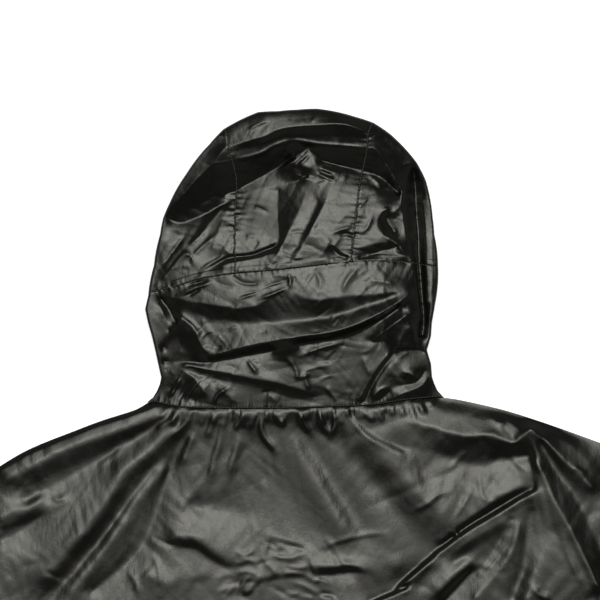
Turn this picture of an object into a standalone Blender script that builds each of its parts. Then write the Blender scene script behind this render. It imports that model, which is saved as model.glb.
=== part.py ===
"""A hooded windbreaker of thin coated cloth, laid face down with its back and hood uppermost.

Every cut piece is one wall of cloth: a flat grid whose points follow the pattern piece, raised by
the loft of the laid garment and by its largest folds, then given its thickness by Solidify.

The drawing plane is the floor. Its zero is the middle of the back neck seam, x runs to the right of
the laid garment, y runs up to the top of the hood, and z runs up from the floor. The tables are in
millimetres there. ORIGIN moves that zero so that the finished part stands on the middle of its box.
"""

import math

import bmesh
import bpy
import numpy as np

MM = 0.001

# Cloth and seams, in millimetres
WALL = 1.2
SEAM_GAP = 0.3
FLOOR_LEVEL = WALL / 2
UPPER_LEVEL = FLOOR_LEVEL + WALL + SEAM_GAP
ORIGIN = (24.99, -227.41)

# Hood
HOOD_CENTRE_Y = 96.0
ROLL_DEPTH = (3.0, 9.0)
EDGE_HEIGHT = (3.0, 14.0)
CREST_HEIGHT = (8.5, 30.0)
NECK_TO_HOOD = 55.0
LIP_WIDTH = 52.0
CHIN_SHARE = 0.55
FRONT_NECK_DROP = 75.0
TOP_COLUMNS = (8, 10, 8)
ROLL_STEPS = 3
UNDER_STEPS = 4
LOWER_ROWS = 13
CROWN_ROWS = 14
LAST_SIDE_ANGLE = 15.0

# Body
HEM_Y = -715.0
HEM_HALF = 285.0
HEM_NECK_HALF = 130.0
SHOULDER_COLUMNS = 8
FRONT_SHOULDER_COLUMNS = 5
BODY_ROWS = (6, 20)
FRONT_ROWS = (4, 10)
ARMHOLE_SEGMENTS = 10
BODY_LOFT = 3.6
HEM_LOFT = 2.9

# Sleeves
SLEEVE_ROWS = 17
SLEEVE_EDGE_HALF = 1.2
SLEEVE_LOFT = 5.0

# Front zip
ZIP_HALF_GAP = 5.0
ZIP_RISE = 1.3
ZIP_RISE_START = 19.0
TAPE_HALF = 12.0
TAPE_BOTTOM = 2.8
TAPE_TOP = 3.6
CHAIN_HALF = 2.6
CHAIN_BOTTOM = 1.5
CHAIN_TOP_Y = 4.0
SLIDER_LENGTH = 12.0
SLIDER_WIDTH = 8.4
SLIDER_BOTTOM = 1.3
SLIDER_TOP = 4.3
CHEEK_WIDTH = 1.0
CHEEK_LENGTH = 3.0
CHEEK_BELOW_AXIS = 0.4
CHEEK_OVERLAP = 0.6
PULL_AXIS_Z = 0.6
PULL_THICKNESS = 0.8
PULL_WIDTH = 5.0
PULL_LENGTH = 26.0
PULL_NECK = 3.0
PULL_CORNER = 1.5
PULL_TIP = 0.4
BACK_OVER_ZIP = 2.6

# Outline of the lower hood, seen from above: height up the hood, left edge, right edge
LOWER_OUTLINE = np.array(
    [
        # y, left, right
        (0, -130.0, 126.0),
        (12, -123.5, 124.0),
        (24, -121.0, 119.7),
        (36, -122.7, 117.0),
        (48, -125.1, 115.0),
        (60, -127.8, 117.4),
        (72, -131.4, 118.8),
        (84, -133.2, 120.8),
        (96, -131.2, 123.3),
    ]
)

# Outline of the upper hood, from its centre: angle from +x, radius
UPPER_OUTLINE = np.array(
    [
        # degrees, radius
        (0, 123.3),
        (12, 126.9),
        (24, 132.4),
        (36, 145.2),
        (48, 158.0),
        (60, 163.9),
        (72, 165.7),
        (84, 164.8),
        (96, 165.0),
        (108, 162.3),
        (120, 153.8),
        (132, 144.5),
        (144, 138.7),
        (156, 131.9),
        (168, 128.8),
        (180, 131.2),
    ]
)

NECK_LINE = [(-128, 2), (-100, -3), (-55, -4), (-18, -4), (20, -3), (66, -1), (94, 3), (124, 6)]
NECK_ENDS = (2.0, 6.0)
HORIZONTAL_SEAM = [(-131, 98), (-110, 103), (-73, 113), (-8, 119), (57, 126), (96, 125), (126, 121)]
CROWN_SEAM_LEFT = [(-55, 114.8), (-55, 133), (-55, 169), (-54, 197), (-60, 224), (-61, 234)]
CROWN_SEAM_RIGHT = [(48, 125.4), (50, 150), (56, 195), (61, 218), (63, 238), (64, 240)]

# Shoulders, armholes and sleeves, each side from the neck outwards, as x and y of each point
SIDES = {
    "left": {
        "shoulder": [(-143, -5), (-171, -14), (-195, -23), (-238, -40.5), (-272, -62)],
        "armhole": [(-272, -62), (-255, -130), (-257, -220), (-300, -310)],
        "outer_edge": [(-272, -62), (-400, -178), (-520, -345), (-645, -555)],
        "inner_edge": [(-300, -310), (-400, -440), (-553, -624)],
    },
    "right": {
        "shoulder": [(145, 3.5), (182, -5), (211, -14), (237, -23), (276, -38)],
        "armhole": [(276, -38), (260, -110), (262, -210), (302, -302)],
        "outer_edge": [(276, -38), (420, -125), (565, -290), (695, -490)],
        "inner_edge": [(302, -302), (430, -410), (611, -568)],
    },
}

# Largest folds: rise (negative is a trough), reach on the upper or right side, reach on the lower or
# left side, power (2 is rounded, nearer 1 is a sharp crease), and the line along which each runs.
# Lines go from left to right, or from top to bottom.
HOOD_FOLDS = [
    # name, rise, upper, lower, power, line
    ("brow ridge", 9, 9, 7, 1.3, [(-70, 214), (-40, 231), (5, 244), (37, 244), (76, 220)]),
    ("crown ridge", 15, 9, 15, 1.3, [(-106, 172), (-72, 207), (-40, 217), (-8, 228), (46, 226), (80, 211)]),
    ("crown valley", -15, 15, 30, 1.4, [(-114, 152), (-92, 162), (-62, 176), (-35, 186), (4, 198)]),
    ("temple valley", -9, 10, 12, 1.6, [(10, 204), (40, 206), (66, 200), (84, 188)]),
    ("long crown ridge", 4, 10, 9, 1.6, [(38, 200), (24, 173), (-2, 130)]),
    ("temple crease", -5, 8, 8, 1.6, [(60, 186), (72, 178), (86, 168)]),
    ("temple rim", 6, 9, 9, 1.6, [(78, 174), (69, 160), (74, 148), (88, 138)]),
    ("side gutter", -24, 7, 8, 1.7, [(90, 200), (97, 170), (100, 135), (103, 104), (103, 76), (97, 56)]),
    ("side roll", 9, 8, 8, 2.0, [(104, 200), (112, 170), (115, 130), (114, 96), (110, 60)]),
    ("band below seam", 4, 14, 9, 1.8, [(-108, 90), (-50, 98), (3, 99), (50, 104), (84, 108)]),
    ("dark band", -7, 9, 10, 1.8, [(-103, 76), (-50, 80), (3, 82), (42, 86), (74, 96)]),
    ("long ridge", 9, 10, 9, 1.5, [(-6, 53), (32, 65), (56, 74), (74, 82), (90, 94)]),
    ("second ridge", 4, 8, 8, 1.6, [(2, 43), (32, 54), (56, 64)]),
    ("narrow valley", -6, 8, 8, 1.6, [(-100, 40), (-52, 44), (-24, 45), (3, 46)]),
    ("wedge valley", -11, 8, 13, 1.6, [(-112, 34), (-71, 28), (-43, 21), (-14, 14), (20, 8)]),
    ("cheek ridge", 6, 9, 9, 1.6, [(-106, 80), (-90, 66), (-84, 48)]),
    ("corner ridge", 5, 9, 9, 1.6, [(62, 6), (70, 22), (84, 44)]),
    ("loop ridge", 4, 9, 9, 1.8, [(80, 48), (88, 60), (92, 74)]),
]
BODY_FOLDS = [
    # name, rise, upper, lower, power, line
    ("left shoulder trough", -4, 11, 11, 2.0, [(-235, -62), (-191, -30), (-115, -10)]),
    ("left shoulder ridge", 9, 14, 14, 1.8, [(-255, -104), (-191, -58), (-131, -20)]),
    ("left blade trough", -4, 12, 12, 2.0, [(-217, -146), (-191, -109), (-149, -77), (-110, -30)]),
    ("left blade ridge", 7, 13, 12, 1.8, [(-200, -152), (-173, -126), (-150, -95), (-118, -54)]),
    ("left back edge", 8, 11, 12, 1.5, [(-147, -176), (-138, -134), (-124, -97), (-106, -49)]),
    ("right neck trough", -4, 12, 12, 2.0, [(48, -14), (61, -27), (94, -67), (129, -116)]),
    ("right neck ridge", 7, 13, 13, 1.8, [(20, -14), (44, -44), (70, -84), (100, -122)]),
    ("right shoulder ridge", 6, 11, 11, 1.8, [(112, -18), (160, -32), (190, -30)]),
    ("right shoulder trough", -5, 11, 11, 1.8, [(108, -36), (161, -53), (182, -46), (214, -42)]),
    ("right blade ridge", 10, 10, 14, 1.5, [(104, -146), (126, -127), (152, -109), (184, -92), (212, -80)]),
    ("right back ridge", 6, 12, 12, 1.6, [(60, -180), (85, -164), (119, -137)]),
    ("right armhole fold", 8, 10, 14, 1.5, [(207, -24), (231, -46), (256, -84)]),
    ("right armhole edge", 7, 12, 12, 1.5, [(210, -40), (220, -70), (236, -102), (252, -150)]),
    ("middle back fold", 5, 16, 16, 2.0, [(-60, -150), (-20, -205), (10, -290)]),
    ("left side fold", 8, 18, 14, 1.7, [(-262, -262), (-200, -300), (-120, -318)]),
    ("left side drag", 7, 16, 16, 1.8, [(-278, -330), (-215, -400), (-170, -500)]),
    ("right side fold", 8, 14, 18, 1.7, [(120, -300), (190, -290), (268, -262)]),
    ("right side drag", 7, 16, 16, 1.8, [(150, -470), (214, -392), (276, -322)]),
    ("waist fold", 6, 16, 18, 1.8, [(-180, -440), (-60, -462), (70, -446), (170, -420)]),
    ("left hem fold", 6, 18, 18, 2.0, [(-190, -690), (-176, -620), (-150, -545)]),
    ("middle hem fold", 5, 18, 18, 2.0, [(24, -690), (18, -620), (40, -540)]),
    ("right hem fold", 6, 18, 18, 2.0, [(196, -690), (180, -625), (160, -560)]),
]
SLEEVE_FOLDS = [
    # name, rise, upper, lower, power, line
    ("left cap fold", 5, 12, 12, 1.8, [(-330, -170), (-310, -220), (-304, -270)]),
    ("left upper drag", 6, 13, 13, 1.8, [(-392, -240), (-352, -300), (-336, -350)]),
    ("left elbow fold", 7, 12, 14, 1.8, [(-500, -370), (-440, -390), (-392, -420)]),
    ("left elbow ridge", 6, 11, 12, 1.8, [(-508, -420), (-462, -452), (-430, -470)]),
    ("left forearm fold", 5, 12, 12, 1.8, [(-570, -480), (-540, -520), (-500, -545)]),
    ("left cuff fold", 4, 10, 10, 1.8, [(-618, -545), (-590, -575), (-560, -598)]),
    ("right cap fold", 5, 12, 12, 1.8, [(305, -250), (318, -200), (340, -150)]),
    ("right upper drag", 6, 13, 13, 1.8, [(360, -335), (392, -280), (430, -215)]),
    ("right elbow fold", 7, 12, 14, 1.8, [(440, -380), (490, -340), (540, -310)]),
    ("right elbow ridge", 6, 11, 12, 1.8, [(478, -425), (522, -392), (566, -350)]),
    ("right forearm fold", 5, 12, 12, 1.8, [(545, -488), (590, -455), (618, -420)]),
    ("right cuff fold", 4, 10, 10, 1.8, [(610, -545), (640, -520), (664, -485)]),
]

# name: colour, roughness, metallic
FINISHES = {
    "coated cloth": ((0.052, 0.050, 0.042), 0.34, 0.0),
    "zip tape": ((0.020, 0.020, 0.018), 0.60, 0.0),
    "zip metal": ((0.050, 0.050, 0.050), 0.35, 0.9),
}


def smooth(share):
    """Rises from 0 to 1 with level ends."""
    share = np.clip(share, 0.0, 1.0)
    return share * share * (3.0 - 2.0 * share)


def blend(low, high, share):
    """The value a share of the way from low to high."""
    return low + (high - low) * share


def curve_through(points, shares, per_span=16):
    """Points at the given shares of the length of a smooth curve through the given points."""
    knots = np.asarray(points, dtype=float)
    before = np.vstack([2 * knots[0] - knots[1], knots[:-1]])
    after = np.vstack([knots[1:], 2 * knots[-1] - knots[-2]])
    slopes = (after - before) / 2
    t = np.linspace(0.0, 1.0, per_span, endpoint=False)[:, None, None]
    start = (2 * t**3 - 3 * t**2 + 1) * knots[None, :-1] + (t**3 - 2 * t**2 + t) * slopes[None, :-1]
    end = (3 * t**2 - 2 * t**3) * knots[None, 1:] + (t**3 - t**2) * slopes[None, 1:]
    dense = (start + end).transpose(1, 0, 2).reshape(-1, 2)
    dense = np.vstack([dense, knots[-1]])
    steps = np.hypot(*np.diff(dense, axis=0).T)
    along = np.concatenate([[0.0], np.cumsum(steps)])
    along /= along[-1]
    return np.column_stack([np.interp(shares, along, dense[:, k]) for k in (0, 1)])


def fold_height(x, y, folds):
    """Sum of the folds at each point: a bell across each fold's line, fading towards its ends.

    side is 1 straight out on the upper side of the line, -1 on the lower side, and turns from one
    to the other round the line's ends.
    """
    total = np.zeros_like(x)
    for _, rise, upper, lower, power, line in folds:
        path = curve_through(line, np.linspace(0.0, 1.0, 4 * len(line)))
        best = np.full(x.shape, np.inf)
        side = np.zeros_like(x)
        place = np.zeros_like(x)
        for index in range(len(path) - 1):
            ax, ay = path[index]
            dx, dy = path[index + 1] - path[index]
            share = np.clip(((x - ax) * dx + (y - ay) * dy) / (dx * dx + dy * dy), 0.0, 1.0)
            off_x = x - ax - share * dx
            off_y = y - ay - share * dy
            distance = np.hypot(off_x, off_y)
            nearer = distance < best
            best = np.where(nearer, distance, best)
            turn = (dx * off_y - dy * off_x) / (math.hypot(dx, dy) * distance + 1e-9)
            side = np.where(nearer, turn, side)
            place = np.where(nearer, (index + share) / (len(path) - 1), place)
        reach = blend(lower, upper, (1 + side) / 2)
        fade = blend(0.3, 1.0, smooth(place / 0.3) * smooth((1 - place) / 0.3))
        total += rise * fade * np.exp(-((best / reach) ** power))
    return total


def at_least(height, lowest, softness=0.5):
    """Keeps a height above the lowest level, turning into it softly."""
    return lowest + softness * np.logaddexp(0.0, (height - lowest) / softness)


# ---------------------------------------------------------------- hood

def neck_share(y):
    """0 at the neck seam, 1 where the hood has its full loft."""
    return smooth((y - 2.0) / NECK_TO_HOOD)


def half_width(y, side):
    """Distance from the centre line to the lower hood's outline on one side."""
    column = 1 if side < 0 else 2
    return np.abs(np.interp(y, LOWER_OUTLINE[:, 0], LOWER_OUTLINE[:, column]))


def outline_radius(angle):
    """Distance from the hood's centre to its outline."""
    return np.interp(np.degrees(angle), UPPER_OUTLINE[:, 0], UPPER_OUTLINE[:, 1])


def hood_height(x, y):
    """Height of the hood's upper cloth: a pillow between its edge and its crest, with its folds."""
    up = np.maximum(y - HOOD_CENTRE_Y, 0.0)
    radial = np.hypot(x, up) / outline_radius(np.arctan2(up, x))
    level = np.abs(x) / np.where(x < 0, half_width(y, -1), half_width(y, 1))
    outward = np.where(y > HOOD_CENTRE_Y, radial, level)
    share = neck_share(y)
    edge = blend(*EDGE_HEIGHT, share)
    crest = blend(*CREST_HEIGHT, share)
    loft = edge + (crest - edge) * (1.0 - np.clip(outward, 0.0, 1.0) ** 3)
    folds = fold_height(x, y, HOOD_FOLDS) * smooth((y + 2.0) / 20.0)
    return at_least(loft + folds, UPPER_LEVEL)


def hood_edge(angle, y, side):
    """Centre, outward direction and radius at a place on the hood's outline.

    Above the hood's centre the place is an angle. Below it, it is a height, and the outline
    stands square to the centre line.
    """
    upper = y > HOOD_CENTRE_Y
    direction_x = np.where(upper, np.cos(angle), side)
    direction_y = np.where(upper, np.sin(angle), 0.0)
    centre_y = np.where(upper, HOOD_CENTRE_Y, y)
    radius = np.where(upper, outline_radius(angle), half_width(y, side))
    return centre_y, direction_x, direction_y, radius


def hood_points(angle, y, side, reach, lip):
    """Points of the hood's cloth out from its centre.

    reach runs from 0 to 1 over the upper side, 1 to 2 round the rolled edge, and 2 to 3 inwards
    under the hood, where it covers lip millimetres of floor.
    """
    centre_y, direction_x, direction_y, radius = hood_edge(angle, y, side)
    share = neck_share(y)
    depth = blend(*ROLL_DEPTH, share)
    inner = radius - depth
    top_reach = np.clip(reach, 0.0, 1.0) * inner
    turn = math.pi * np.clip(reach - 1.0, 0.0, 1.0)
    under = np.clip(reach - 2.0, 0.0, 1.0) * lip
    distance = top_reach + depth * np.sin(turn) - under
    x = direction_x * distance
    place_y = centre_y + direction_y * distance
    edge_x = direction_x * inner
    edge_y = centre_y + direction_y * inner
    top = hood_height(np.where(reach > 1, edge_x, x), np.where(reach > 1, edge_y, place_y))
    rolled = (top + FLOOR_LEVEL) / 2 + (top - FLOOR_LEVEL) / 2 * np.cos(turn)
    height = np.where(reach > 1, rolled, top)
    height = np.where(reach > 2, FLOOR_LEVEL, height)
    return x, place_y, height


def seam_place(points):
    """Angle and reach, from the hood's centre, of points on its upper side."""
    x = points[:, 0]
    y = points[:, 1] - HOOD_CENTRE_Y
    angle = np.arctan2(y, x)
    inner = outline_radius(angle) - ROLL_DEPTH[1]
    return angle, np.hypot(x, y) / inner


def crown_seam(line):
    """The whole of a crown seam, from the horizontal seam over the top to the face opening."""
    upper = curve_through(line, np.linspace(0.0, 1.0, CROWN_ROWS + 1))
    angle, reach = seam_place(upper)
    reach[-1] = 1.0
    beyond = 1.0 + np.arange(1, ROLL_STEPS + 1) / ROLL_STEPS
    under = 2.0 + np.arange(1, UNDER_STEPS + 1) / UNDER_STEPS
    beyond = np.concatenate([beyond, under])
    return np.concatenate([angle, np.full(beyond.size, angle[-1])]), np.concatenate([reach, beyond])


def side_seam_start(side):
    """The horizontal seam from the crown seam out to the rolled edge, from the crown seam's foot."""
    seam = curve_through(HORIZONTAL_SEAM, np.linspace(0.0, 1.0, 121))
    foot = CROWN_SEAM_LEFT[0] if side < 0 else CROWN_SEAM_RIGHT[0]
    columns = TOP_COLUMNS[0] if side < 0 else TOP_COLUMNS[2]
    end_angle, _ = seam_place(seam[:1] if side < 0 else seam[-1:])
    end_radius = outline_radius(end_angle[0]) - ROLL_DEPTH[1]
    end = np.array([math.cos(end_angle[0]), math.sin(end_angle[0])]) * end_radius
    end[1] += HOOD_CENTRE_Y
    shares = np.linspace(0.0, 1.0, columns + 1)
    x = blend(foot[0], end[0], shares)
    y = np.interp(x, seam[:, 0], seam[:, 1])
    y += blend(foot[1] - y[0], end[1] - y[-1], shares)
    return np.column_stack([x, y]), end_angle[0]


def side_columns():
    """Reach of the columns beyond the rolled edge's start."""
    beyond = 1.0 + np.arange(1, ROLL_STEPS + 1) / ROLL_STEPS
    return np.concatenate([beyond, 2.0 + np.arange(1, UNDER_STEPS + 1) / UNDER_STEPS])


def hood_side(side):
    """A side panel: rows fan from the crown seam to the edge of the face opening."""
    seam_angle, seam_reach = crown_seam(CROWN_SEAM_LEFT if side < 0 else CROWN_SEAM_RIGHT)
    start, end_angle = side_seam_start(side)
    start_angle, start_reach = seam_place(start)
    start_reach[-1] = 1.0
    start_angle = np.concatenate([start_angle, np.full(ROLL_STEPS + UNDER_STEPS, end_angle)])
    start_reach = np.concatenate([start_reach, side_columns()])
    rows = np.linspace(0.0, 1.0, seam_angle.size)[:, None]
    last_angle = seam_angle[-1] - side * math.radians(LAST_SIDE_ANGLE)
    lip_angle = blend(end_angle, last_angle, rows)
    reach_share = (start_reach - start_reach[0]) / (3.0 - start_reach[0])
    even = np.linspace(0.0, 1.0, start_reach.size)
    angle_share = (start_angle - start_angle[0]) / (end_angle - start_angle[0])
    angle_share = blend(angle_share[None, :], even[None, :], smooth(rows))
    angle = seam_angle[:, None] + (lip_angle - seam_angle[:, None]) * angle_share
    reach = seam_reach[:, None] + (3.0 - seam_reach[:, None]) * reach_share[None, :]
    above = np.full(angle.shape, HOOD_CENTRE_Y + 1.0)
    return np.dstack(hood_points(angle, above, side, reach, LIP_WIDTH))


def crown_foot():
    """The horizontal seam between the two crown seams."""
    left, right = CROWN_SEAM_LEFT[0], CROWN_SEAM_RIGHT[0]
    seam = curve_through(HORIZONTAL_SEAM, np.linspace(0.0, 1.0, 121))
    shares = np.linspace(0.0, 1.0, TOP_COLUMNS[1] + 1)
    x = blend(left[0], right[0], shares)
    y = np.interp(x, seam[:, 0], seam[:, 1])
    y += blend(left[1] - y[0], right[1] - y[-1], shares)
    return np.column_stack([x, y])


def hood_crown():
    """The centre panel: from the horizontal seam over the top and under to the face opening."""
    foot = crown_foot()
    left = curve_through(CROWN_SEAM_LEFT, np.linspace(0.0, 1.0, CROWN_ROWS + 1))
    right = curve_through(CROWN_SEAM_RIGHT, np.linspace(0.0, 1.0, CROWN_ROWS + 1))
    left_angle, left_reach = crown_seam(CROWN_SEAM_LEFT)
    right_angle, right_reach = crown_seam(CROWN_SEAM_RIGHT)
    across = np.linspace(0.0, 1.0, TOP_COLUMNS[1] + 1)
    angle = blend(left_angle[-1], right_angle[-1], across)
    inner = outline_radius(angle) - ROLL_DEPTH[1]
    top = np.column_stack([np.cos(angle) * inner, np.sin(angle) * inner + HOOD_CENTRE_Y])
    left[-1], right[-1] = top[0], top[-1]
    flat = coons(foot, top, left, right)
    upper = np.dstack([flat, hood_height(flat[..., 0], flat[..., 1])])
    reach = side_columns()[:, None] * np.ones(across.size)[None, :]
    above = np.full(reach.shape, HOOD_CENTRE_Y + 1.0)
    beyond = np.dstack(hood_points(angle[None, :] + 0 * reach, above, 1, reach, LIP_WIDTH))
    return np.concatenate([upper, beyond], axis=0)


def neck_points():
    """The back neck seam at the hood's upper columns, left to right."""
    line = curve_through(NECK_LINE, np.linspace(0.0, 1.0, 81))
    ends = []
    for side, y in zip((-1, 1), NECK_ENDS):
        ends.append(side * (half_width(y, side) - blend(*ROLL_DEPTH, neck_share(y))))
    left, middle, right = TOP_COLUMNS
    x = np.concatenate(
        [
            np.linspace(ends[0], CROWN_SEAM_LEFT[0][0], left + 1),
            np.linspace(CROWN_SEAM_LEFT[0][0], CROWN_SEAM_RIGHT[0][0], middle + 1)[1:],
            np.linspace(CROWN_SEAM_RIGHT[0][0], ends[1], right + 1)[1:],
        ]
    )
    return np.column_stack([x, np.interp(x, line[:, 0], line[:, 1])])


def zip_rise(x):
    """How far the front cloth is lifted beside the zip."""
    return ZIP_RISE * smooth((ZIP_RISE_START - np.abs(x)) / (ZIP_RISE_START - ZIP_HALF_GAP))


def hood_lower():
    """The lower panel: one strip round the neck, from the zip under the chin round both sides."""
    rows = np.linspace(0.0, 1.0, LOWER_ROWS + 1)
    neck = neck_points()
    left_start, left_angle = side_seam_start(-1)
    right_start, right_angle = side_seam_start(1)
    seam = np.vstack([left_start[::-1], crown_foot()[1:-1], right_start])
    flat = neck[None] * (1 - rows)[:, None, None] + seam[None] * rows[:, None, None]
    parts = []
    for side, end_angle, neck_y in ((-1, left_angle, NECK_ENDS[0]), (1, right_angle, NECK_ENDS[1])):
        end_y = HOOD_CENTRE_Y + math.sin(end_angle) * outline_radius(end_angle)
        y = blend(neck_y, end_y, rows)[:, None]
        sine = np.clip((y - HOOD_CENTRE_Y) / outline_radius(end_angle), 0.0, 1.0)
        angle = np.arcsin(sine) if side > 0 else math.pi - np.arcsin(sine)
        angle[-1] = end_angle
        _, _, _, radius = hood_edge(angle, y, side)
        inner = radius - blend(*ROLL_DEPTH, neck_share(y))
        opening = smooth((rows[:, None] - CHIN_SHARE) / (1 - CHIN_SHARE))
        edge = blend(ZIP_HALF_GAP, inner - LIP_WIDTH, opening)
        reach = side_columns()[None, :] + 0 * y
        x, place_y, height = hood_points(angle, y, side, reach, inner - edge)
        under = np.clip(reach - 2.0, 0.0, 1.0)
        place_y = place_y - FRONT_NECK_DROP * (1 - rows[:, None]) * smooth(under)
        height = height + np.where(under > 0, zip_rise(x), 0.0)
        parts.append(np.dstack([x, place_y, height]))
        column = 0 if side < 0 else -1
        corner_x, corner_y, _ = hood_points(angle, y, side, 1.0 + 0 * y, 0.0)
        flat[:, column, 0] = corner_x[:, 0]
        flat[:, column, 1] = corner_y[:, 0]
    upper = np.dstack([flat, hood_height(flat[..., 0], flat[..., 1])])
    return np.concatenate([parts[0][:, ::-1], upper, parts[1]], axis=1)


# ---------------------------------------------------------------- body and sleeves

def coons(bottom, top, left, right, across=None, along=None):
    """A flat patch between four edges. Rows run from bottom to top, columns from left to right."""
    across = np.linspace(0.0, 1.0, len(bottom)) if across is None else across
    along = np.linspace(0.0, 1.0, len(left)) if along is None else along
    u = across[None, :, None]
    v = along[:, None, None]
    ruled = (1 - v) * bottom[None] + v * top[None] + (1 - u) * left[:, None] + u * right[:, None]
    corners = (1 - v) * ((1 - u) * bottom[0] + u * bottom[-1]) + v * ((1 - u) * top[0] + u * top[-1])
    return ruled - corners


def armhole_points(side):
    """The armhole from the shoulder tip down to the underarm, as short straight runs."""
    return curve_through(SIDES[side]["armhole"], np.linspace(0.0, 1.0, ARMHOLE_SEGMENTS + 1))


def body_side(side, rows):
    """Side seam and armhole from the hem up, and the share of the height at each row."""
    armhole = armhole_points(side)[::-1]
    hem = np.array([HEM_HALF if side == "right" else -HEM_HALF, HEM_Y])
    seam = hem + (armhole[0] - hem) * np.linspace(0.0, 1.0, rows[0] + 1)[:, None]
    per_segment = rows[1] // ARMHOLE_SEGMENTS
    place = np.arange(1, rows[1] + 1) / per_segment
    upper = np.column_stack([np.interp(place, np.arange(len(armhole)), armhole[:, k]) for k in (0, 1)])
    points = np.vstack([seam, upper])
    return points, (points[:, 1] - HEM_Y) / (points[-1, 1] - HEM_Y)


def shoulder_points(side, corner, columns):
    """The shoulder from the neck corner out to its tip."""
    return curve_through([tuple(corner)] + SIDES[side]["shoulder"], np.linspace(0.0, 1.0, columns + 1))


def back_panel():
    """The back: hem, side seams, armholes, shoulders and neck, lying on the two fronts."""
    neck = neck_points()
    left_shoulder = shoulder_points("left", neck[0], SHOULDER_COLUMNS)
    right_shoulder = shoulder_points("right", neck[-1], SHOULDER_COLUMNS)
    top = np.vstack([left_shoulder[:0:-1], neck, right_shoulder[1:]])
    hem_x = np.concatenate(
        [
            np.linspace(-HEM_HALF, -HEM_NECK_HALF, SHOULDER_COLUMNS + 1),
            np.linspace(-HEM_NECK_HALF, HEM_NECK_HALF, len(neck))[1:],
            np.linspace(HEM_NECK_HALF, HEM_HALF, SHOULDER_COLUMNS + 1)[1:],
        ]
    )
    bottom = np.column_stack([hem_x, np.full(hem_x.size, HEM_Y)])
    left, along = body_side("left", BODY_ROWS)
    right, _ = body_side("right", BODY_ROWS)
    flat = coons(bottom, top, left, right, along=along)
    flat[-1, :, 1] -= SEAM_GAP
    x, y = flat[..., 0], flat[..., 1]
    across = np.linspace(0.0, 1.0, hem_x.size)[None, :]
    rise_x = smooth(np.minimum(across, 1 - across) / 0.16)
    at_neck = smooth((60.0 + y) / 60.0) * smooth((132.0 - np.abs(x)) / 26.0)
    rise_y = blend(smooth((1 - along[:, None]) / 0.05), 1.0, at_neck)
    seat = blend(HEM_LOFT, BODY_LOFT, smooth(along[:, None] / 0.12))
    neck_loft = hood_height(x, np.zeros_like(y)) - UPPER_LEVEL
    loft = blend(seat * rise_x * rise_y, neck_loft, at_neck)
    folds = fold_height(x, y, BODY_FOLDS) * rise_x * rise_y * smooth((-y - 1.0) / 16.0)
    lowest = UPPER_LEVEL + BACK_OVER_ZIP * smooth((30.0 - np.abs(x)) / 12.0)
    return np.dstack([flat, at_least(UPPER_LEVEL + loft + folds, lowest)])


def front_panel(side):
    """One front: flat on the floor, lifted a little where its edge lies on the zip."""
    sign = -1 if side == "left" else 1
    neck = neck_points()
    corner = neck[0] if side == "left" else neck[-1]
    shares = np.linspace(0.0, 1.0, UNDER_STEPS + 1)
    edge_x = sign * ZIP_HALF_GAP
    neckline = np.column_stack(
        [blend(corner[0], edge_x, shares), corner[1] - FRONT_NECK_DROP * smooth(shares) - 2 * SEAM_GAP]
    )
    shoulder = shoulder_points(side, corner, FRONT_SHOULDER_COLUMNS)
    top = np.vstack([shoulder[:0:-1], neckline])
    outer, along = body_side(side, FRONT_ROWS)
    centre_y = blend(HEM_Y, neckline[-1, 1], along)
    centre = np.column_stack([np.full(along.size, edge_x), centre_y])
    hem_x = np.linspace(sign * HEM_HALF, edge_x, len(top))
    bottom = np.column_stack([hem_x, np.full(hem_x.size, HEM_Y)])
    flat = coons(bottom, top, outer, centre, along=along)
    return np.dstack([flat, FLOOR_LEVEL + zip_rise(flat[..., 0])])


def sleeve(side):
    """A sleeve: a ring of cloth at each row, flat below and lofted above, open at both ends."""
    shape = SIDES[side]
    rows = np.linspace(0.0, 1.0, SLEEVE_ROWS + 1)
    outer = curve_through(shape["outer_edge"], rows)
    inner = curve_through(shape["inner_edge"], rows)
    armhole = armhole_points(side)
    cuff = outer[-1] + (inner[-1] - outer[-1]) * np.linspace(0.0, 1.0, len(armhole))[:, None]
    flat = coons(armhole, cuff, outer, inner)
    forward = flat[1] - flat[0]
    forward /= np.hypot(*forward.T)[:, None]
    flat[0] += 2 * SEAM_GAP * forward
    across = np.linspace(0.0, 1.0, len(armhole))[None, :]
    outward = flat[:, 0] - flat[:, -1]
    outward /= np.hypot(*outward.T)[:, None]
    flat[:, 0] -= SLEEVE_EDGE_HALF * outward
    flat[:, -1] += SLEEVE_EDGE_HALF * outward
    x, y = flat[..., 0], flat[..., 1]
    rise = smooth(np.minimum(across, 1 - across) / 0.3)
    seat = FLOOR_LEVEL + 2 * SLEEVE_EDGE_HALF
    end = smooth(rows[:, None] / 0.08) * smooth((1 - rows[:, None]) / 0.06)
    folds = fold_height(x, y, SLEEVE_FOLDS) * blend(0.35, 1.0, rise) * blend(0.25, 1.0, end)
    top = np.dstack([flat, seat + SLEEVE_LOFT * rise * blend(0.5, 1.0, end) + folds])
    below = np.dstack([flat, np.full(x.shape, FLOOR_LEVEL)])[:, ::-1]
    middle = FLOOR_LEVEL + SLEEVE_EDGE_HALF
    outer_edge = np.column_stack([flat[:, 0] + SLEEVE_EDGE_HALF * outward, np.full(rows.size, middle)])
    inner_edge = np.column_stack([flat[:, -1] - SLEEVE_EDGE_HALF * outward, np.full(rows.size, middle)])
    return np.concatenate([outer_edge[:, None], top, inner_edge[:, None], below, outer_edge[:, None]], axis=1)


# ---------------------------------------------------------------- objects

def to_place(points):
    """Drawing millimetres to metres about the finished part's origin."""
    return (np.asarray(points, dtype=float) - np.array([*ORIGIN, 0.0])) * MM


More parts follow.
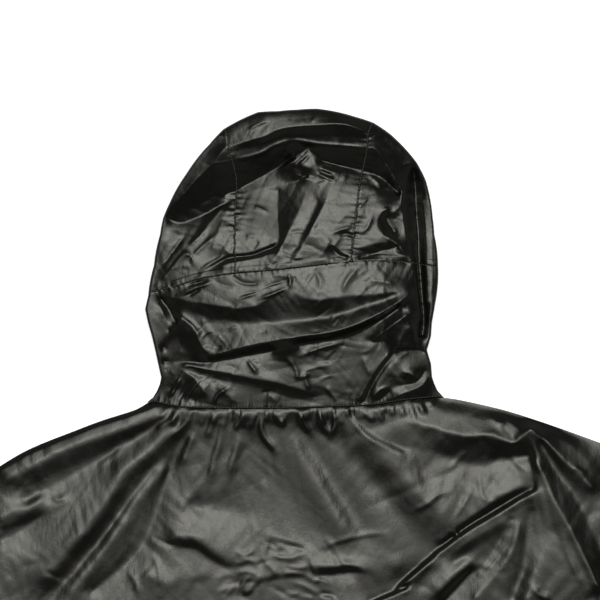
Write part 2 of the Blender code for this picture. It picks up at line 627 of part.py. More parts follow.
def new_material(name):
    """A plain surface with the finish's colour, roughness and metallic value."""
    colour, roughness, metallic = FINISHES[name]
    material = bpy.data.materials.new(name)
    material.use_nodes = True
    surface = material.node_tree.nodes["Principled BSDF"]
    surface.inputs["Base Color"].default_value = (*colour, 1.0)
    surface.inputs["Roughness"].default_value = roughness
    surface.inputs["Metallic"].default_value = metallic
    return material


def add_mesh(name, bm, collection, finish):
    """Puts a finished bmesh into the collection as a named object with its own material."""
    mesh = bpy.data.meshes.new(name)
    bm.to_mesh(mesh)
    bm.free()
    mesh.shade_smooth()
    mesh.set_sharp_from_angle(angle=math.radians(75))
    mesh.materials.append(new_material(finish))
    obj = bpy.data.objects.new(name, mesh)
    collection.objects.link(obj)
    return obj


def add_cloth(name, points, collection, ring=False):
    """A wall of cloth through rows and columns of points. A ring's last column joins its first."""
    rows, columns = points.shape[:2]
    bm = bmesh.new()
    bmesh.ops.create_grid(bm, x_segments=columns - 1, y_segments=rows - 1, size=1.0)
    placed = to_place(points)
    for vert in bm.verts:
        column = round((vert.co.x + 1) / 2 * (columns - 1))
        row = round((vert.co.y + 1) / 2 * (rows - 1))
        vert.co = placed[row, column]
    if ring:
        bmesh.ops.remove_doubles(bm, verts=bm.verts, dist=1e-6)
    obj = add_mesh(name, bm, collection, "coated cloth")
    wall = obj.modifiers.new("wall", "SOLIDIFY")
    wall.thickness = WALL * MM
    wall.offset = 0.0
    return obj


def part_seams(panels):
    """Draws the last rows back from each hood seam so that the walls stand apart."""
    crown, left, right, lower = (panels[k] for k in ("crown", "left", "right", "lower"))
    half = SEAM_GAP
    crown[:, 0, :2] += half * unit(crown[:, 1, :2] - crown[:, 0, :2])
    crown[:, -1, :2] += half * unit(crown[:, -2, :2] - crown[:, -1, :2])
    crown[0, :, :2] += half * unit(crown[1, :, :2] - crown[0, :, :2])
    for panel in (left, right):
        panel[:, 0, :2] += half * unit(panel[:, 1, :2] - panel[:, 0, :2])
        panel[0, :, :2] += half * unit(panel[1, :, :2] - panel[0, :, :2])
    lower[0, :, :2] += half * unit(lower[1, :, :2] - lower[0, :, :2])


def unit(vectors):
    """Directions of rows of flat vectors."""
    return vectors / np.maximum(np.hypot(vectors[..., 0], vectors[..., 1]), 1e-9)[..., None]


def add_block(name, low, high, collection, finish):
    """A block between two corners."""
    low, high = to_place(low), to_place(high)
    bm = bmesh.new()
    bmesh.ops.create_cube(bm, size=1.0)
    for vert in bm.verts:
        vert.co = [blend(low[k], high[k], vert.co[k] + 0.5) for k in range(3)]
    return add_mesh(name, bm, collection, finish)


def add_zip(collection, helpers):
    """Tape and chain as one strip, and the slider at the chin with two cheeks for its tab."""
    strip = [
        (-TAPE_HALF, TAPE_BOTTOM),
        (-CHAIN_HALF, TAPE_BOTTOM),
        (-CHAIN_HALF, CHAIN_BOTTOM),
        (CHAIN_HALF, CHAIN_BOTTOM),
        (CHAIN_HALF, TAPE_BOTTOM),
        (TAPE_HALF, TAPE_BOTTOM),
        (TAPE_HALF, TAPE_TOP),
        (-TAPE_HALF, TAPE_TOP),
    ]
    curve = bpy.data.curves.new("zip_strip", "CURVE")
    curve.dimensions = "2D"
    curve.fill_mode = "BOTH"
    curve.extrude = (CHAIN_TOP_Y - HEM_Y) / 2 * MM
    spline = curve.splines.new("POLY")
    spline.points.add(len(strip) - 1)
    for point, (x, z) in zip(spline.points, strip):
        point.co = (x * MM, z * MM, 0.0, 1.0)
    spline.use_cyclic_u = True
    curve.materials.append(new_material("zip tape"))
    chain = bpy.data.objects.new("zip_strip", curve)
    chain.location = to_place((0.0, (CHAIN_TOP_Y + HEM_Y) / 2, 0.0))
    chain.rotation_euler = (math.pi / 2, 0.0, 0.0)
    collection.objects.link(chain)

    slider_y = CHAIN_TOP_Y + SEAM_GAP
    axis_y = slider_y + SLIDER_LENGTH / 2
    half = SLIDER_WIDTH / 2
    body = add_block(
        "zip_slider",
        (-half, slider_y, SLIDER_BOTTOM),
        (half, slider_y + SLIDER_LENGTH, SLIDER_TOP),
        collection,
        "zip metal",
    )
    barrel = PULL_WIDTH / 2 - CHEEK_WIDTH
    for sign in (-1, 1):
        inner_x = sign * (barrel + SEAM_GAP)
        outer_x = sign * (barrel + SEAM_GAP + CHEEK_WIDTH)
        cheek = add_block(
            "zip_cheek_left" if sign < 0 else "zip_cheek_right",
            (min(inner_x, outer_x), axis_y - CHEEK_LENGTH / 2, PULL_AXIS_Z - CHEEK_BELOW_AXIS),
            (max(inner_x, outer_x), axis_y + CHEEK_LENGTH / 2, SLIDER_BOTTOM + CHEEK_OVERLAP),
            helpers,
            "zip metal",
        )
        union = body.modifiers.new("cheek", "BOOLEAN")
        union.operation = "UNION"
        union.object = cheek
        cheek.hide_render = True
        cheek.display_type = "WIRE"
    return axis_y


def add_pull(collection, axis_y):
    """The pull tab: a flat strap that narrows to a barrel between the slider's two cheeks."""
    barrel = PULL_WIDTH / 2 - CHEEK_WIDTH
    half = PULL_WIDTH / 2
    tip = half - PULL_CORNER
    left = [
        (-barrel, PULL_TIP),
        (-barrel, -PULL_NECK),
        (-half, -PULL_NECK - PULL_CORNER),
        (-half, -PULL_LENGTH + PULL_CORNER),
        (-tip, -PULL_LENGTH),
    ]
    outline = left + [(-x, y) for x, y in reversed(left)]
    curve = bpy.data.curves.new("zip_pull", "CURVE")
    curve.dimensions = "2D"
    curve.fill_mode = "BOTH"
    curve.extrude = PULL_THICKNESS / 2 * MM
    spline = curve.splines.new("POLY")
    spline.points.add(len(outline) - 1)
    for point, (x, y) in zip(spline.points, outline):
        point.co = (x * MM, y * MM, 0.0, 1.0)
    spline.use_cyclic_u = True
    curve.materials.append(new_material("zip metal"))
    pull = bpy.data.objects.new("zip_pull", curve)
    pull.location = to_place((0.0, axis_y, PULL_AXIS_Z))
    collection.objects.link(pull)


for old in list(bpy.data.objects):
    bpy.data.objects.remove(old, do_unlink=True)

jacket = bpy.data.collections.new("hooded_windbreaker")
joiners = bpy.data.collections.new("joiners")
for group in (jacket, joiners):
    bpy.context.scene.collection.children.link(group)

hood = {"crown": hood_crown(), "left": hood_side(-1), "right": hood_side(1), "lower": hood_lower()}
part_seams(hood)
add_cloth("hood_crown", hood["crown"], jacket)
add_cloth("hood_side_left", hood["left"], jacket)
add_cloth("hood_side_right", hood["right"], jacket)
add_cloth("hood_lower_back", hood["lower"], jacket)
add_cloth("back", back_panel(), jacket)
for name in ("left", "right"):
    add_cloth("front_" + name, front_panel(name), jacket)
    add_cloth("sleeve_" + name, sleeve(name), jacket, ring=True)
add_pull(jacket, add_zip(jacket, joiners))
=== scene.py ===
import math

import bpy
import numpy as np
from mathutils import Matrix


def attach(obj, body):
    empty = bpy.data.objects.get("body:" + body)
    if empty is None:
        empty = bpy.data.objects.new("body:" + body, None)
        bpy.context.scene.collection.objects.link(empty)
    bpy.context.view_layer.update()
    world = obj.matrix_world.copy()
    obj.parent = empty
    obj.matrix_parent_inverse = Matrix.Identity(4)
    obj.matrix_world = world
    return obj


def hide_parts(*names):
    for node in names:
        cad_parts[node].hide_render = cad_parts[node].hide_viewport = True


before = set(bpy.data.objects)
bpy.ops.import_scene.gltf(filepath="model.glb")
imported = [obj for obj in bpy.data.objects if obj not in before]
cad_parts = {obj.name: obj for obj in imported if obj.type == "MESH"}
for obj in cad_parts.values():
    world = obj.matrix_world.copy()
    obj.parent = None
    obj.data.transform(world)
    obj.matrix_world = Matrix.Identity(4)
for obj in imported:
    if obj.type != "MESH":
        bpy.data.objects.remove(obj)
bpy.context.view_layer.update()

# ---------------------------------------------------------------- hood, centre panel
# The strip that runs from the seam across the back of the head over the crown and under to the face
# opening. Thin plain-woven nylon, coated so that it shines like satin, cut in one piece and sewn to
# both side panels. It lies slack, so its brow stands up as two sharp folds over a sunken crown.

MM = 0.001
CLOTH = 0.3
FLOOR_LEVEL = 0.6
UPPER_LEVEL = 2.1
ORIGIN = (24.99, -227.41)
HOOD_CENTRE_Y = 96.0
ROLL_DEPTH = (1.5, 2.2)
NECK_TO_HOOD = 55.0
LIP_WIDTH = 52.0
EDGE_STEP = 3.0
TOP_COLUMNS = (96, 150, 96)
CROWN_ROWS = 178
OPENING_HEM = 18.0
HEM_DROP = 0.6
FOLDS_START = 11.0
FOLD_TRIM = 3.4
CURVE_STEPS = 16
SOFTNESS_LEVELS = (0.55, 1.1, 2.2, 4.4)
STRETCH_GRIDS = (32, 16, 8, 4, 2, 1)
STRETCH_ROUNDS = 180
SETTLE = 0.5
CREST_ROUNDING = 0.5
GROOVE_REACH = 0.7
ALLOWANCE_RISE = 0.35
ROLL_STEPS = 20
UNDER_STEPS = 18
LOWER_OUTLINE = np.array([
    # y, left, right
    (0, -134.8, 134.0), (6, -127.1, 129.5), (12, -123.4, 123.9), (18, -120.9, 121.1),
    (24, -119.8, 119.0), (36, -122.5, 118.0), (48, -125.1, 114.4), (60, -127.9, 118.0),
    (72, -131.4, 118.8), (84, -133.9, 120.9), (96, -131.1, 122.9),
])
UPPER_OUTLINE = np.array([
    # degrees, radius
    (0, 122.9), (12, 126.9), (24, 132.3), (30, 137.9), (36, 144.9), (42, 152.3), (48, 157.4),
    (60, 163.8), (66, 165.9), (72, 165.0), (84, 164.8), (90, 163.0), (96, 162.6), (102, 164.5),
    (108, 162.0), (114, 159.6), (120, 153.6), (132, 144.8), (144, 138.6), (150, 136.2), (156, 132.0),
    (168, 128.8), (180, 131.1),
])
NECK_LINE = [(-128, 2), (-100, -3), (-55, -4), (-18, -4), (20, -3), (66, -1), (94, 3), (124, 6)]
HORIZONTAL_SEAM = [(-131, 98), (-110, 103), (-73, 113), (-8, 119), (57, 126), (96, 125), (126, 121)]
CROWN_SEAM_LEFT = [(-55, 114.8), (-55, 133), (-55, 169), (-54, 197), (-60, 224), (-61, 234)]
CROWN_SEAM_RIGHT = [(48, 125.4), (50, 150), (56, 195), (61, 218), (63, 238), (64, 240)]
# Where the hood's upper cloth turns over its edge: place round the edge, height
EDGE_BELOW = [(0, 3.6), (12, 4.6), (24, 8.0), (36, 10.5), (48, 12.5), (60, 13.5), (84, 14.0), (96, 14.5)]
EDGE_ABOVE = [
    # degrees, height
    (0, 12), (25, 12), (36, 13.5), (46, 16.5), (56, 24), (66, 31), (78, 36), (95, 37.5),
    (106, 36), (116, 32), (128, 28), (138, 23), (148, 18), (160, 14.5), (180, 14),
]
NECK_HEIGHT = [(-130, 3.6), (-100, 8.8), (-50, 10.4), (0, 11.0), (50, 10.6), (100, 7.4), (126, 3.6)]

# Creases of the hood. The cloth is stretched between them: softness in mm, then x, y and height.
HOOD_CREASES = [
    # name, softness, points
    ("brow crest", 0.5, [
        (-72, 213, 33), (-63, 224, 36), (-40, 232, 39), (-28, 235, 40), (-12, 242, 41), (20, 245, 42),
        (36, 246, 42), (48, 244, 41), (58, 240, 38.5), (64, 235.5, 35.2), (74, 228, 30.5),
        (83, 220.6, 26.5), (92, 210.5, 21.5),
    ]),
    ("corner fold", 0.6, [(92, 210.5, 21.5), (101, 211.5, 19.5), (110, 206, 14.5)]),
    ("second crest", 0.45, [
        (-78, 208, 31), (-72, 211, 32.5), (-60, 213, 33), (-33, 220, 33.5), (-20, 227, 33.5),
        (-10.6, 229, 33.5), (-3, 231.6, 33.5), (19, 228.6, 33.5), (45, 226.6, 33.2), (60, 225, 32.8),
        (69, 223.5, 32), (76, 213, 28.5), (84, 200, 25), (91, 189, 22.5),
    ]),
    ("above the second crest", 1.2, [
        (-62, 219.5, 34.8), (-33, 227.5, 35.4), (-20, 232.5, 35.6), (-12, 235.5, 35.6), (14, 236, 35.6),
        (45, 235, 35.4), (58, 232.5, 35),
    ]),
    ("left rim", 0.6, [(-78, 208, 31), (-90, 196, 28), (-100, 184, 24), (-110, 174, 19), (-117, 167, 15)]),
    ("crown valley", 0.45, [
        (-116, 165, 13), (-104, 159.5, 13), (-92, 163, 13.4), (-80, 168, 13.4), (-70, 173.5, 13.6),
        (-56, 181, 14.2), (-40, 187, 15.6), (-30, 190, 16.6), (-10, 194, 18.4), (0, 197, 20),
        (9, 202, 21.6),
    ]),
    ("deep hollow", 0.6, [
        (-64, 184, 13.3), (-50, 190.5, 12.8), (-38, 197, 13.4), (-24, 205, 14.6), (-12, 212, 16.2),
        (-5, 217.5, 18.7),
    ]),
    ("bridge", 0.7, [(10, 226.5, 24.6), (4, 220, 25.2), (-1, 214.5, 25.6), (-7.6, 211.5, 25.5)]),
    ("bridge face", 1.0, [(5, 217, 26.2), (5, 210, 26.8), (12, 208, 26.8)]),
    ("bridge right", 0.5, [(10, 226.5, 24.6), (13.6, 219, 25.4), (16, 212, 25.8), (17.3, 206, 25.6)]),
    ("bridge crease", 0.45, [(-9, 210, 22), (0, 206, 23.8), (8, 203.5, 24.2), (15, 200, 23.6)]),
    ("bridge fold", 0.5, [(-4, 203, 22), (6, 199, 24), (15, 196, 25), (17, 192, 25)]),
    ("temple valley", 0.7, [
        (19, 214.5, 20.5), (40, 209, 19.5), (58, 205, 19), (72, 201, 18), (81, 194, 16), (90, 186, 13.5),
    ]),
    ("temple edge", 2.4, [
        (15, 218, 25.4), (22, 212, 23.4), (34, 208, 22.6), (38, 205, 23.9), (46, 203, 22.8), (60, 194, 23),
        (66, 187, 24), (72, 181, 24.6), (80, 173, 24.8), (86, 168, 23.4),
    ]),
    ("long crown ridge", 0.8, [
        (37, 204, 24.5), (33, 196, 26.4), (24, 176, 28.6), (14, 157, 29.8), (5, 140, 29.6), (-2, 128, 29.3),
        (-7, 121, 28.5),
    ]),
    ("short crown ridge", 0.8, [
        (7, 182, 24.6), (2, 170, 26), (-4, 158, 27.4), (-10, 146, 28.4), (-16, 134, 28.6), (-25, 120, 28),
    ]),
    ("crown trough", 1.6, [(18, 178, 25.4), (9, 157, 26.8), (0, 142, 27.4), (-9, 127, 27.4)]),
    ("crown hollow", 0.6, [(-17, 189, 16.4), (-17.5, 175, 18.6), (-17, 158, 21.8), (-15, 146, 25)]),
    ("crown middle", 3.0, [(-36, 178, 18.2), (-34, 160, 22.6), (-31, 145, 25.4)]),
    ("crown cross crease", 0.4, [
        (-75, 121, 20.5), (-62, 128, 21), (-54, 130, 21.5), (-40, 131, 22), (-30, 135, 22.5),
        (-20, 138.5, 23.5), (-15, 142.5, 25),
    ]),
    ("above the cross crease", 0.7, [(-60, 131, 23.2), (-40, 134, 24.2), (-28, 138.5, 25), (-21, 142, 25.8)]),
    ("below the cross crease", 0.6, [
        (-66, 122, 24.5), (-50, 126, 26), (-34, 129, 26.6), (-20, 133.5, 27.3), (-13, 141, 28.6),
    ]),
    ("left ridge", 0.9, [
        (-66, 173, 17.4), (-74, 163, 18.4), (-82, 155, 18.8), (-92, 144, 19), (-104, 130, 18.6),
        (-116, 114, 17), (-125, 103, 15.2),
    ]),
    ("left panel", 4.0, [(-114, 152, 15.6), (-120, 134, 16.4)]),
    ("left trough", 1.8, [
        (-68, 163, 19.1), (-78, 149, 20), (-90, 134, 20.1), (-104, 116, 19.3), (-114, 104, 16.8),
    ]),
    ("second left ridge", 0.6, [(-61, 172, 18), (-66, 160, 20.5), (-71, 148, 21.9), (-74, 138, 22.2)]),
    ("left arc", 0.5, [
        (-87, 116, 20.4), (-90, 124, 21.4), (-94, 131, 21.8), (-100, 132, 21), (-108, 124, 19.8),
        (-118, 111, 17.4),
    ]),
    ("left fork", 0.5, [(-67, 144, 22.5), (-61, 135, 24), (-55, 131.5, 24)]),
    ("seam", 0.6, [
        (-120, 100.5, 15.5), (-110, 103, 18.5), (-73, 113, 23.5), (-55, 115, 25.5), (-8, 119, 28),
        (48, 125.4, 28), (75, 126.3, 25.5), (96, 125, 20.5),
    ]),
    ("right seam side", 1.0, [(50, 150, 28), (54, 178, 27), (57, 192, 23.8)]),
    ("temple rim", 0.4, [
        (80, 173, 27), (74, 168, 26.5), (70, 160, 26.5), (71, 154, 26.8), (76, 149, 27.3), (84, 144, 26.8),
        (90, 138, 25.2), (95, 131, 23),
    ]),
    ("temple pocket", 1.0, [(78, 165, 20.5), (81, 158, 20), (86, 151, 19.5)]),
    ("crown peak", 0.4, [(28, 143.5, 31), (34, 138, 29.2), (40, 133, 28.4), (47, 131, 27.8)]),
    ("crown peak foot", 0.4, [(31, 137, 26), (38, 131, 25.8), (44, 129, 26)]),
    ("crown peak arm", 0.5, [(28, 143.5, 31), (24, 135, 30.4), (18, 129, 29.4), (0, 124.5, 28.7)]),
    ("low right crease", 0.5, [(55, 129, 25), (66, 132, 23.8), (78, 136, 23.2), (89, 139, 21.5)]),
    ("low right ridge", 0.7, [(52, 137, 28), (62, 140, 27.5), (76, 143, 27)]),
    ("gutter", 0.25, [
        (103, 206, 8.6), (104, 190, 6.1), (105, 170, 5.6), (106.5, 150, 5.6), (107, 130, 5.6),
        (108.5, 110, 5.6), (110, 90, 5.6), (111.5, 72, 5.6), (110, 60, 6.6),
    ]),
    ("gutter edge", 0.5, [
        (91, 189, 22.5), (92.5, 170, 22.8), (94.5, 155, 23), (97.5, 141, 22.5), (101, 125, 21.5),
        (104, 110, 20), (107, 90, 18), (108.5, 74, 16),
    ]),
    ("roll crest", 1.6, [
        (112.5, 195, 12.8), (115.5, 180, 12.8), (117.6, 165, 12.9), (118.8, 150, 13.2), (119.4, 125, 13.8),
        (119.2, 105, 14.5), (118.2, 90, 14.5), (116.4, 76, 14),
    ]),
    ("roll shoulder", 0.8, [
        (110, 180, 12), (112, 165, 12.1), (113.2, 150, 12.4), (113.8, 125, 13), (114.2, 105, 13.6),
        (114.4, 90, 13.6),
    ]),
    # below the seam
    ("band edge", 0.6, [
        (-125, 96.5, 14), (-100, 92, 20), (-75, 88, 24), (-55, 85, 26.5), (-40, 86, 27.5),
        (-30, 90.5, 28.3), (-20, 97, 28.8), (-5, 104, 29),
    ]),
    ("band edge right", 1.0, [
        (-4, 99, 29), (8, 93.5, 29.6), (20, 92, 30), (40, 95, 30), (70, 97, 28), (92, 100, 24.5),
    ]),
    ("dark band", 1.8, [
        (-98, 80, 17.5), (-70, 74, 20), (-40, 72, 22.5), (-10, 73, 23.5), (20, 76, 24.5), (45, 82, 25.5),
        (70, 90, 25.5), (86, 96, 24),
    ]),
    ("long ridge", 0.5, [
        (-84, 46, 17), (-76, 43.5, 20), (-60, 47, 23), (-45, 51, 25.5), (-20, 56, 28), (5, 60, 31),
        (30, 63.5, 32.5), (50, 69.5, 33), (62, 74.5, 32.5), (80, 84, 30.5), (92, 92, 27.5), (100, 98, 24),
    ]),
    ("below the long ridge", 1.2, [
        (0, 52.5, 15.6), (15, 55.5, 15.8), (35, 58.5, 15.6), (50, 63, 16.2), (62, 68.5, 17), (76, 76.5, 18),
        (90, 86.5, 19),
    ]),
    ("flap line", 0.5, [
        (-118, 37.5, 7), (-100, 37.5, 10.6), (-80, 37, 12), (-60, 40, 13.4), (-40, 44, 14),
        (-20, 47.5, 14.8),
    ]),
    ("flap edge", 1.2, [
        (-99, 35, 13.1), (-85, 31.5, 14.5), (-60, 27, 15.6), (-40, 22.5, 15.8), (-20, 19.5, 16.2),
        (-5, 15.5, 16), (8, 11, 14.2), (20, 7, 10.6),
    ]),
    ("wedge", 3.2, [
        (-95, 31.5, 10.5), (-75, 26, 11.2), (-55, 21, 12.3), (-35, 16.5, 12.7), (-15, 11.5, 12.3),
        (2, 7.5, 11.3), (17, 4.5, 10.2),
    ]),
    ("low left ridge", 0.5, [(-102, 31, 11.5), (-90, 23, 13), (-82, 12, 12.5), (-79, 6, 11)]),
    ("low ridge", 0.6, [(-72, 19, 11.3), (-66, 13, 13.3), (-58, 6, 12.6), (-50, 0, 10.8)]),
    ("low middle ridge", 0.6, [(-29, 12, 11.2), (-23, 7, 12.7), (-16, 1, 11.7)]),
    ("patch", 2.5, [(22, 34, 14.5), (40, 28, 14.3), (56, 34, 15), (76, 44, 16)]),
    ("patch below", 2.0, [(24, 16, 12.6), (40, 12, 12.6), (54, 8, 12)]),
    ("cut crease", 0.35, [(58, 1, 8.5), (62, 8, 9.5), (67, 20, 11), (75, 32, 12.5), (86, 46.5, 14)]),
    ("cut crease left", 0.6, [(55, 5, 12), (62, 17, 14), (70, 31, 15.5), (80, 44, 16.8)]),
    ("cut crease right", 1.2, [(66, 8, 11.8), (74, 22, 13.5), (84, 36, 15), (98, 40, 13.5)]),
    ("shelf crease", 0.35, [(87, 47, 15.5), (96, 48, 14), (108, 48, 12), (115, 44, 10.5)]),
    ("shelf ridge", 0.5, [(88, 50, 20), (97, 51.5, 19), (106, 51, 16)]),
    ("loop", 0.45, [
        (88, 50, 20), (91, 58, 22), (97, 68, 23), (101, 67, 22.5), (103, 60, 19.5), (102, 54, 17.5),
    ]),
    ("cheek ridge right", 0.45, [
        (68, 57, 20), (76, 64, 23.5), (86, 71.5, 25.5), (96, 78.5, 24.5), (104, 81, 21),
    ]),
    ("slit", 1.2, [(60, 56.5, 16.4), (68, 56, 16.4), (77, 57, 16.9)]),
    ("slit lip", 1.6, [(54, 52.5, 16.9), (68, 52, 16.9), (82, 52, 16.9)]),
    ("low right fold", 0.5, [(80, 1, 8.5), (90, 8, 12.5), (100, 12, 12.5), (110, 17, 11), (116, 25, 8.5)]),
    ("low right hollow", 0.8, [(84, 16, 11.5), (96, 17.5, 10.5), (106, 21, 9.5), (113, 30, 8.5)]),
    ("curl", 0.5, [(94, 29, 15), (103, 26, 14.5), (104, 22, 13), (98, 20, 12)]),
    ("cheek edge left", 0.5, [(-118, 49, 8.5), (-112, 60, 13), (-107, 69, 16), (-102, 76.5, 19)]),
    ("cheek ridge left", 0.45, [
        (-102, 76.5, 19), (-94, 71, 19.5), (-89, 65, 20), (-86, 57, 20), (-82, 49, 19.5), (-77, 44, 20),
    ]),
    ("cheek hollow", 1.4, [
        (-97, 76.5, 17.4), (-89, 70.5, 18), (-81, 62, 18.4), (-77, 54, 18.6), (-68, 50, 19.6),
    ]),
    ("cheek face", 1.3, [(-105, 60, 13), (-100, 46, 12.5)]),
    ("left rim crease", 0.5, [(-120, 94, 10.5), (-112, 82, 11), (-106, 71, 11.5)]),
    ("left rim ridge", 0.6, [(-122, 88, 14), (-117, 78, 14.5), (-113, 65, 12.5)]),
    ("corner loop", 0.4, [(-116, 31, 8.5), (-110, 28.5, 10), (-106, 22.5, 9.5), (-110, 18.5, 8)]),
    ("corner hollow", 0.7, [(-112, 15, 7), (-100, 9, 8), (-90, 3, 8.4)]),
]


def smooth(share):
    """Rises from 0 to 1 with level ends: three times the share squared less twice its cube."""
    share = np.clip(share, 0.0, 1.0)
    return share * share * (3.0 - 2.0 * share)


def blend(low, high, share):
    """The value a share of the way from low to high."""
    return low + (high - low) * share


def from_table(table, places):
    """Values read between the rows of a table of pairs."""
    return np.interp(places, [row[0] for row in table], [row[1] for row in table])


def curve_through(points, shares):
    """Points at shares of the length of a smooth curve: between two knots each coordinate is the
    cubic that meets both, with slopes set by the knots on either side."""
    knots = np.asarray(points, dtype=float)
    before = np.vstack([2 * knots[0] - knots[1], knots[:-1]])
    after = np.vstack([knots[1:], 2 * knots[-1] - knots[-2]])
    slopes = (after - before) / 2
    t = np.linspace(0.0, 1.0, CURVE_STEPS, endpoint=False)[:, None, None]
    start = (2 * t**3 - 3 * t**2 + 1) * knots[None, :-1] + (t**3 - 2 * t**2 + t) * slopes[None, :-1]
    end = (3 * t**2 - 2 * t**3) * knots[None, 1:] + (t**3 - t**2) * slopes[None, 1:]
    dense = (start + end).transpose(1, 0, 2).reshape(-1, knots.shape[1])
    dense = np.vstack([dense, knots[-1]])
    steps = np.hypot(*np.diff(dense[:, :2], axis=0).T)
    along = np.concatenate([[0.0], np.cumsum(steps)])
    along /= along[-1]
    return np.column_stack([np.interp(shares, along, column) for column in dense.T])


def neck_share(y):
    """0 at the neck seam, 1 where the hood has its full loft."""
    return smooth((y - 2.0) / NECK_TO_HOOD)


def half_width(y, side):
    """Distance from the centre line to the lower hood's outline on one side."""
    return np.abs(np.interp(y, LOWER_OUTLINE[:, 0], LOWER_OUTLINE[:, 1 if side < 0 else 2]))


def outline_radius(angle):
    """Distance from the hood's centre to its outline."""
    return np.interp(np.degrees(angle), UPPER_OUTLINE[:, 0], UPPER_OUTLINE[:, 1])


def height_map(low, high, step):
    """A level rectangle of the drawing plane, as rows up and columns across, step mm apart."""
    x, y = (np.arange(low[k], high[k] + step, step) for k in (0, 1))
    return {"low": low, "step": step, "x": x, "y": y, "z": np.zeros((y.size, x.size))}


def read_height(chart, x, y):
    """Height of a map at each place, straight between its four nearest points."""
    rows, columns = chart["z"].shape
    u = np.clip((x - chart["low"][0]) / chart["step"], 0, columns - 1.001)
    v = np.clip((y - chart["low"][1]) / chart["step"], 0, rows - 1.001)
    i, j = v.astype(int), u.astype(int)
    u, v = u - j, v - i
    z = chart["z"]
    return blend(blend(z[i, j], z[i, j + 1], u), blend(z[i + 1, j], z[i + 1, j + 1], u), v)


def stretched(chart, lines):
    """Cloth pulled taut between lines: on a line it has the line's height, and everywhere else it is
    the mean of its four neighbours. It is settled on a coarse grid first and then on finer ones. A
    line holds the four grid points round each of its places by how near they are."""
    rows, columns = chart["z"].shape
    height = None
    points = np.vstack(lines)
    for coarse in STRETCH_GRIDS:
        step = chart["step"] * coarse
        shape = (rows // coarse + 2, columns // coarse + 2)
        total, count = np.zeros(shape), np.zeros(shape)
        v = np.clip((points[:, 1] - chart["low"][1]) / step, 0, shape[0] - 1.01)
        u = np.clip((points[:, 0] - chart["low"][0]) / step, 0, shape[1] - 1.01)
        i, j = v.astype(int), u.astype(int)
        v, u = v - i, u - j
        for down in (0, 1):
            for across in (0, 1):
                weight = (v if down else 1 - v) * (u if across else 1 - u)
                np.add.at(total, (i + down, j + across), weight * points[:, 2])
                np.add.at(count, (i + down, j + across), weight)
        level = total / np.maximum(count, 1e-9)
        hold = np.clip(1.4 * count, 0.0, 1.0)
        if height is None:
            height = np.full(shape, points[:, 2].mean())
        else:
            height = height.repeat(2, axis=0).repeat(2, axis=1)[: shape[0], : shape[1]]
            short = [(0, shape[k] - height.shape[k]) for k in (0, 1)]
            height = np.pad(height, short, mode="edge")
        for _ in range(STRETCH_ROUNDS):
            wide = np.pad(height, 1, mode="edge")
            mean = (wide[:-2, 1:-1] + wide[2:, 1:-1] + wide[1:-1, :-2] + wide[1:-1, 2:]) / 4
            height = mean + hold * (level - mean)
    return height[:rows, :columns]


def softened(z, *reaches):
    """Each height becomes the mean of those round it, weighted by a bell as wide as the reach up the
    rows and the reach along them."""
    for axis, reach in enumerate(reaches):
        size = z.shape[axis]
        edge = int(4 * reach) + 2
        pads = [(edge, edge) if k == axis else (0, 0) for k in (0, 1)]
        wide = np.pad(z, pads, mode="edge")
        turn = np.fft.rfftfreq(wide.shape[axis])
        weight = np.exp(-2 * (math.pi * turn * reach) ** 2)
        weight = weight[:, None] if axis == 0 else weight[None, :]
        wide = np.fft.irfft(np.fft.rfft(wide, axis=axis) * weight, n=wide.shape[axis], axis=axis)
        z = np.take(wide, np.arange(edge, edge + size), axis=axis)
    return z


def lay_cloth(chart, creases, borders, reach, kept):
    """Stretches cloth over a table of creases and softens it by as much as the nearest ones say. Of
    what stands out from a version softened by the reach, only the share kept stays."""
    lines, soft = [], []
    for _, softness, points in list(creases) + list(borders):
        length = sum(math.dist(a[:2], b[:2]) for a, b in zip(points[:-1], points[1:]))
        line = curve_through(points, np.linspace(0.0, 1.0, int(2 * length / chart["step"]) + 2))
        lines.append(line)
        soft.append(np.column_stack([line[:, :2], np.full(len(line), softness)]))
    sharp = stretched(chart, lines)
    softness = stretched(chart, soft)
    layers = [softened(sharp, level / chart["step"], level / chart["step"]) for level in SOFTNESS_LEVELS]
    result = layers[0]
    for k, (low, high) in enumerate(zip(SOFTNESS_LEVELS, SOFTNESS_LEVELS[1:])):
        between = blend(layers[k], layers[k + 1], np.clip((softness - low) / (high - low), 0, 1))
        result = np.where(softness >= low, between, result)
    broad = softened(sharp, reach / chart["step"], reach / chart["step"])
    chart["z"] = blend(broad, result, kept)


def beside_path(chart, path, margin):
    """The window of a map that lies within a margin of a path and, for each place in it, the distance
    from the path, the sine of the turn from the path's way, and the share of the path passed."""
    low, high = path.min(axis=0) - margin, path.max(axis=0) + margin
    columns = np.flatnonzero((chart["x"] > low[0]) & (chart["x"] < high[0]))
    rows = np.flatnonzero((chart["y"] > low[1]) & (chart["y"] < high[1]))
    if not columns.size or not rows.size:
        return None
    window = np.s_[rows[0] : rows[-1] + 1, columns[0] : columns[-1] + 1]
    x, y = np.meshgrid(chart["x"][window[1]], chart["y"][window[0]])
    best, side, place = np.full(x.shape, np.inf), np.zeros_like(x), np.zeros_like(x)
    for index in range(len(path) - 1):
        ax, ay = path[index]
        dx, dy = path[index + 1] - path[index]
        share = np.clip(((x - ax) * dx + (y - ay) * dy) / (dx * dx + dy * dy + 1e-12), 0.0, 1.0)
        off_x, off_y = x - ax - share * dx, y - ay - share * dy
        distance = np.hypot(off_x, off_y)
        nearer = distance < best
        turn = (dx * off_y - dy * off_x) / (math.hypot(dx, dy) * distance + 1e-9)
        best = np.where(nearer, distance, best)
        side = np.where(nearer, turn, side)
        place = np.where(nearer, (index + share) / (len(path) - 1), place)
    return window, best, side, place


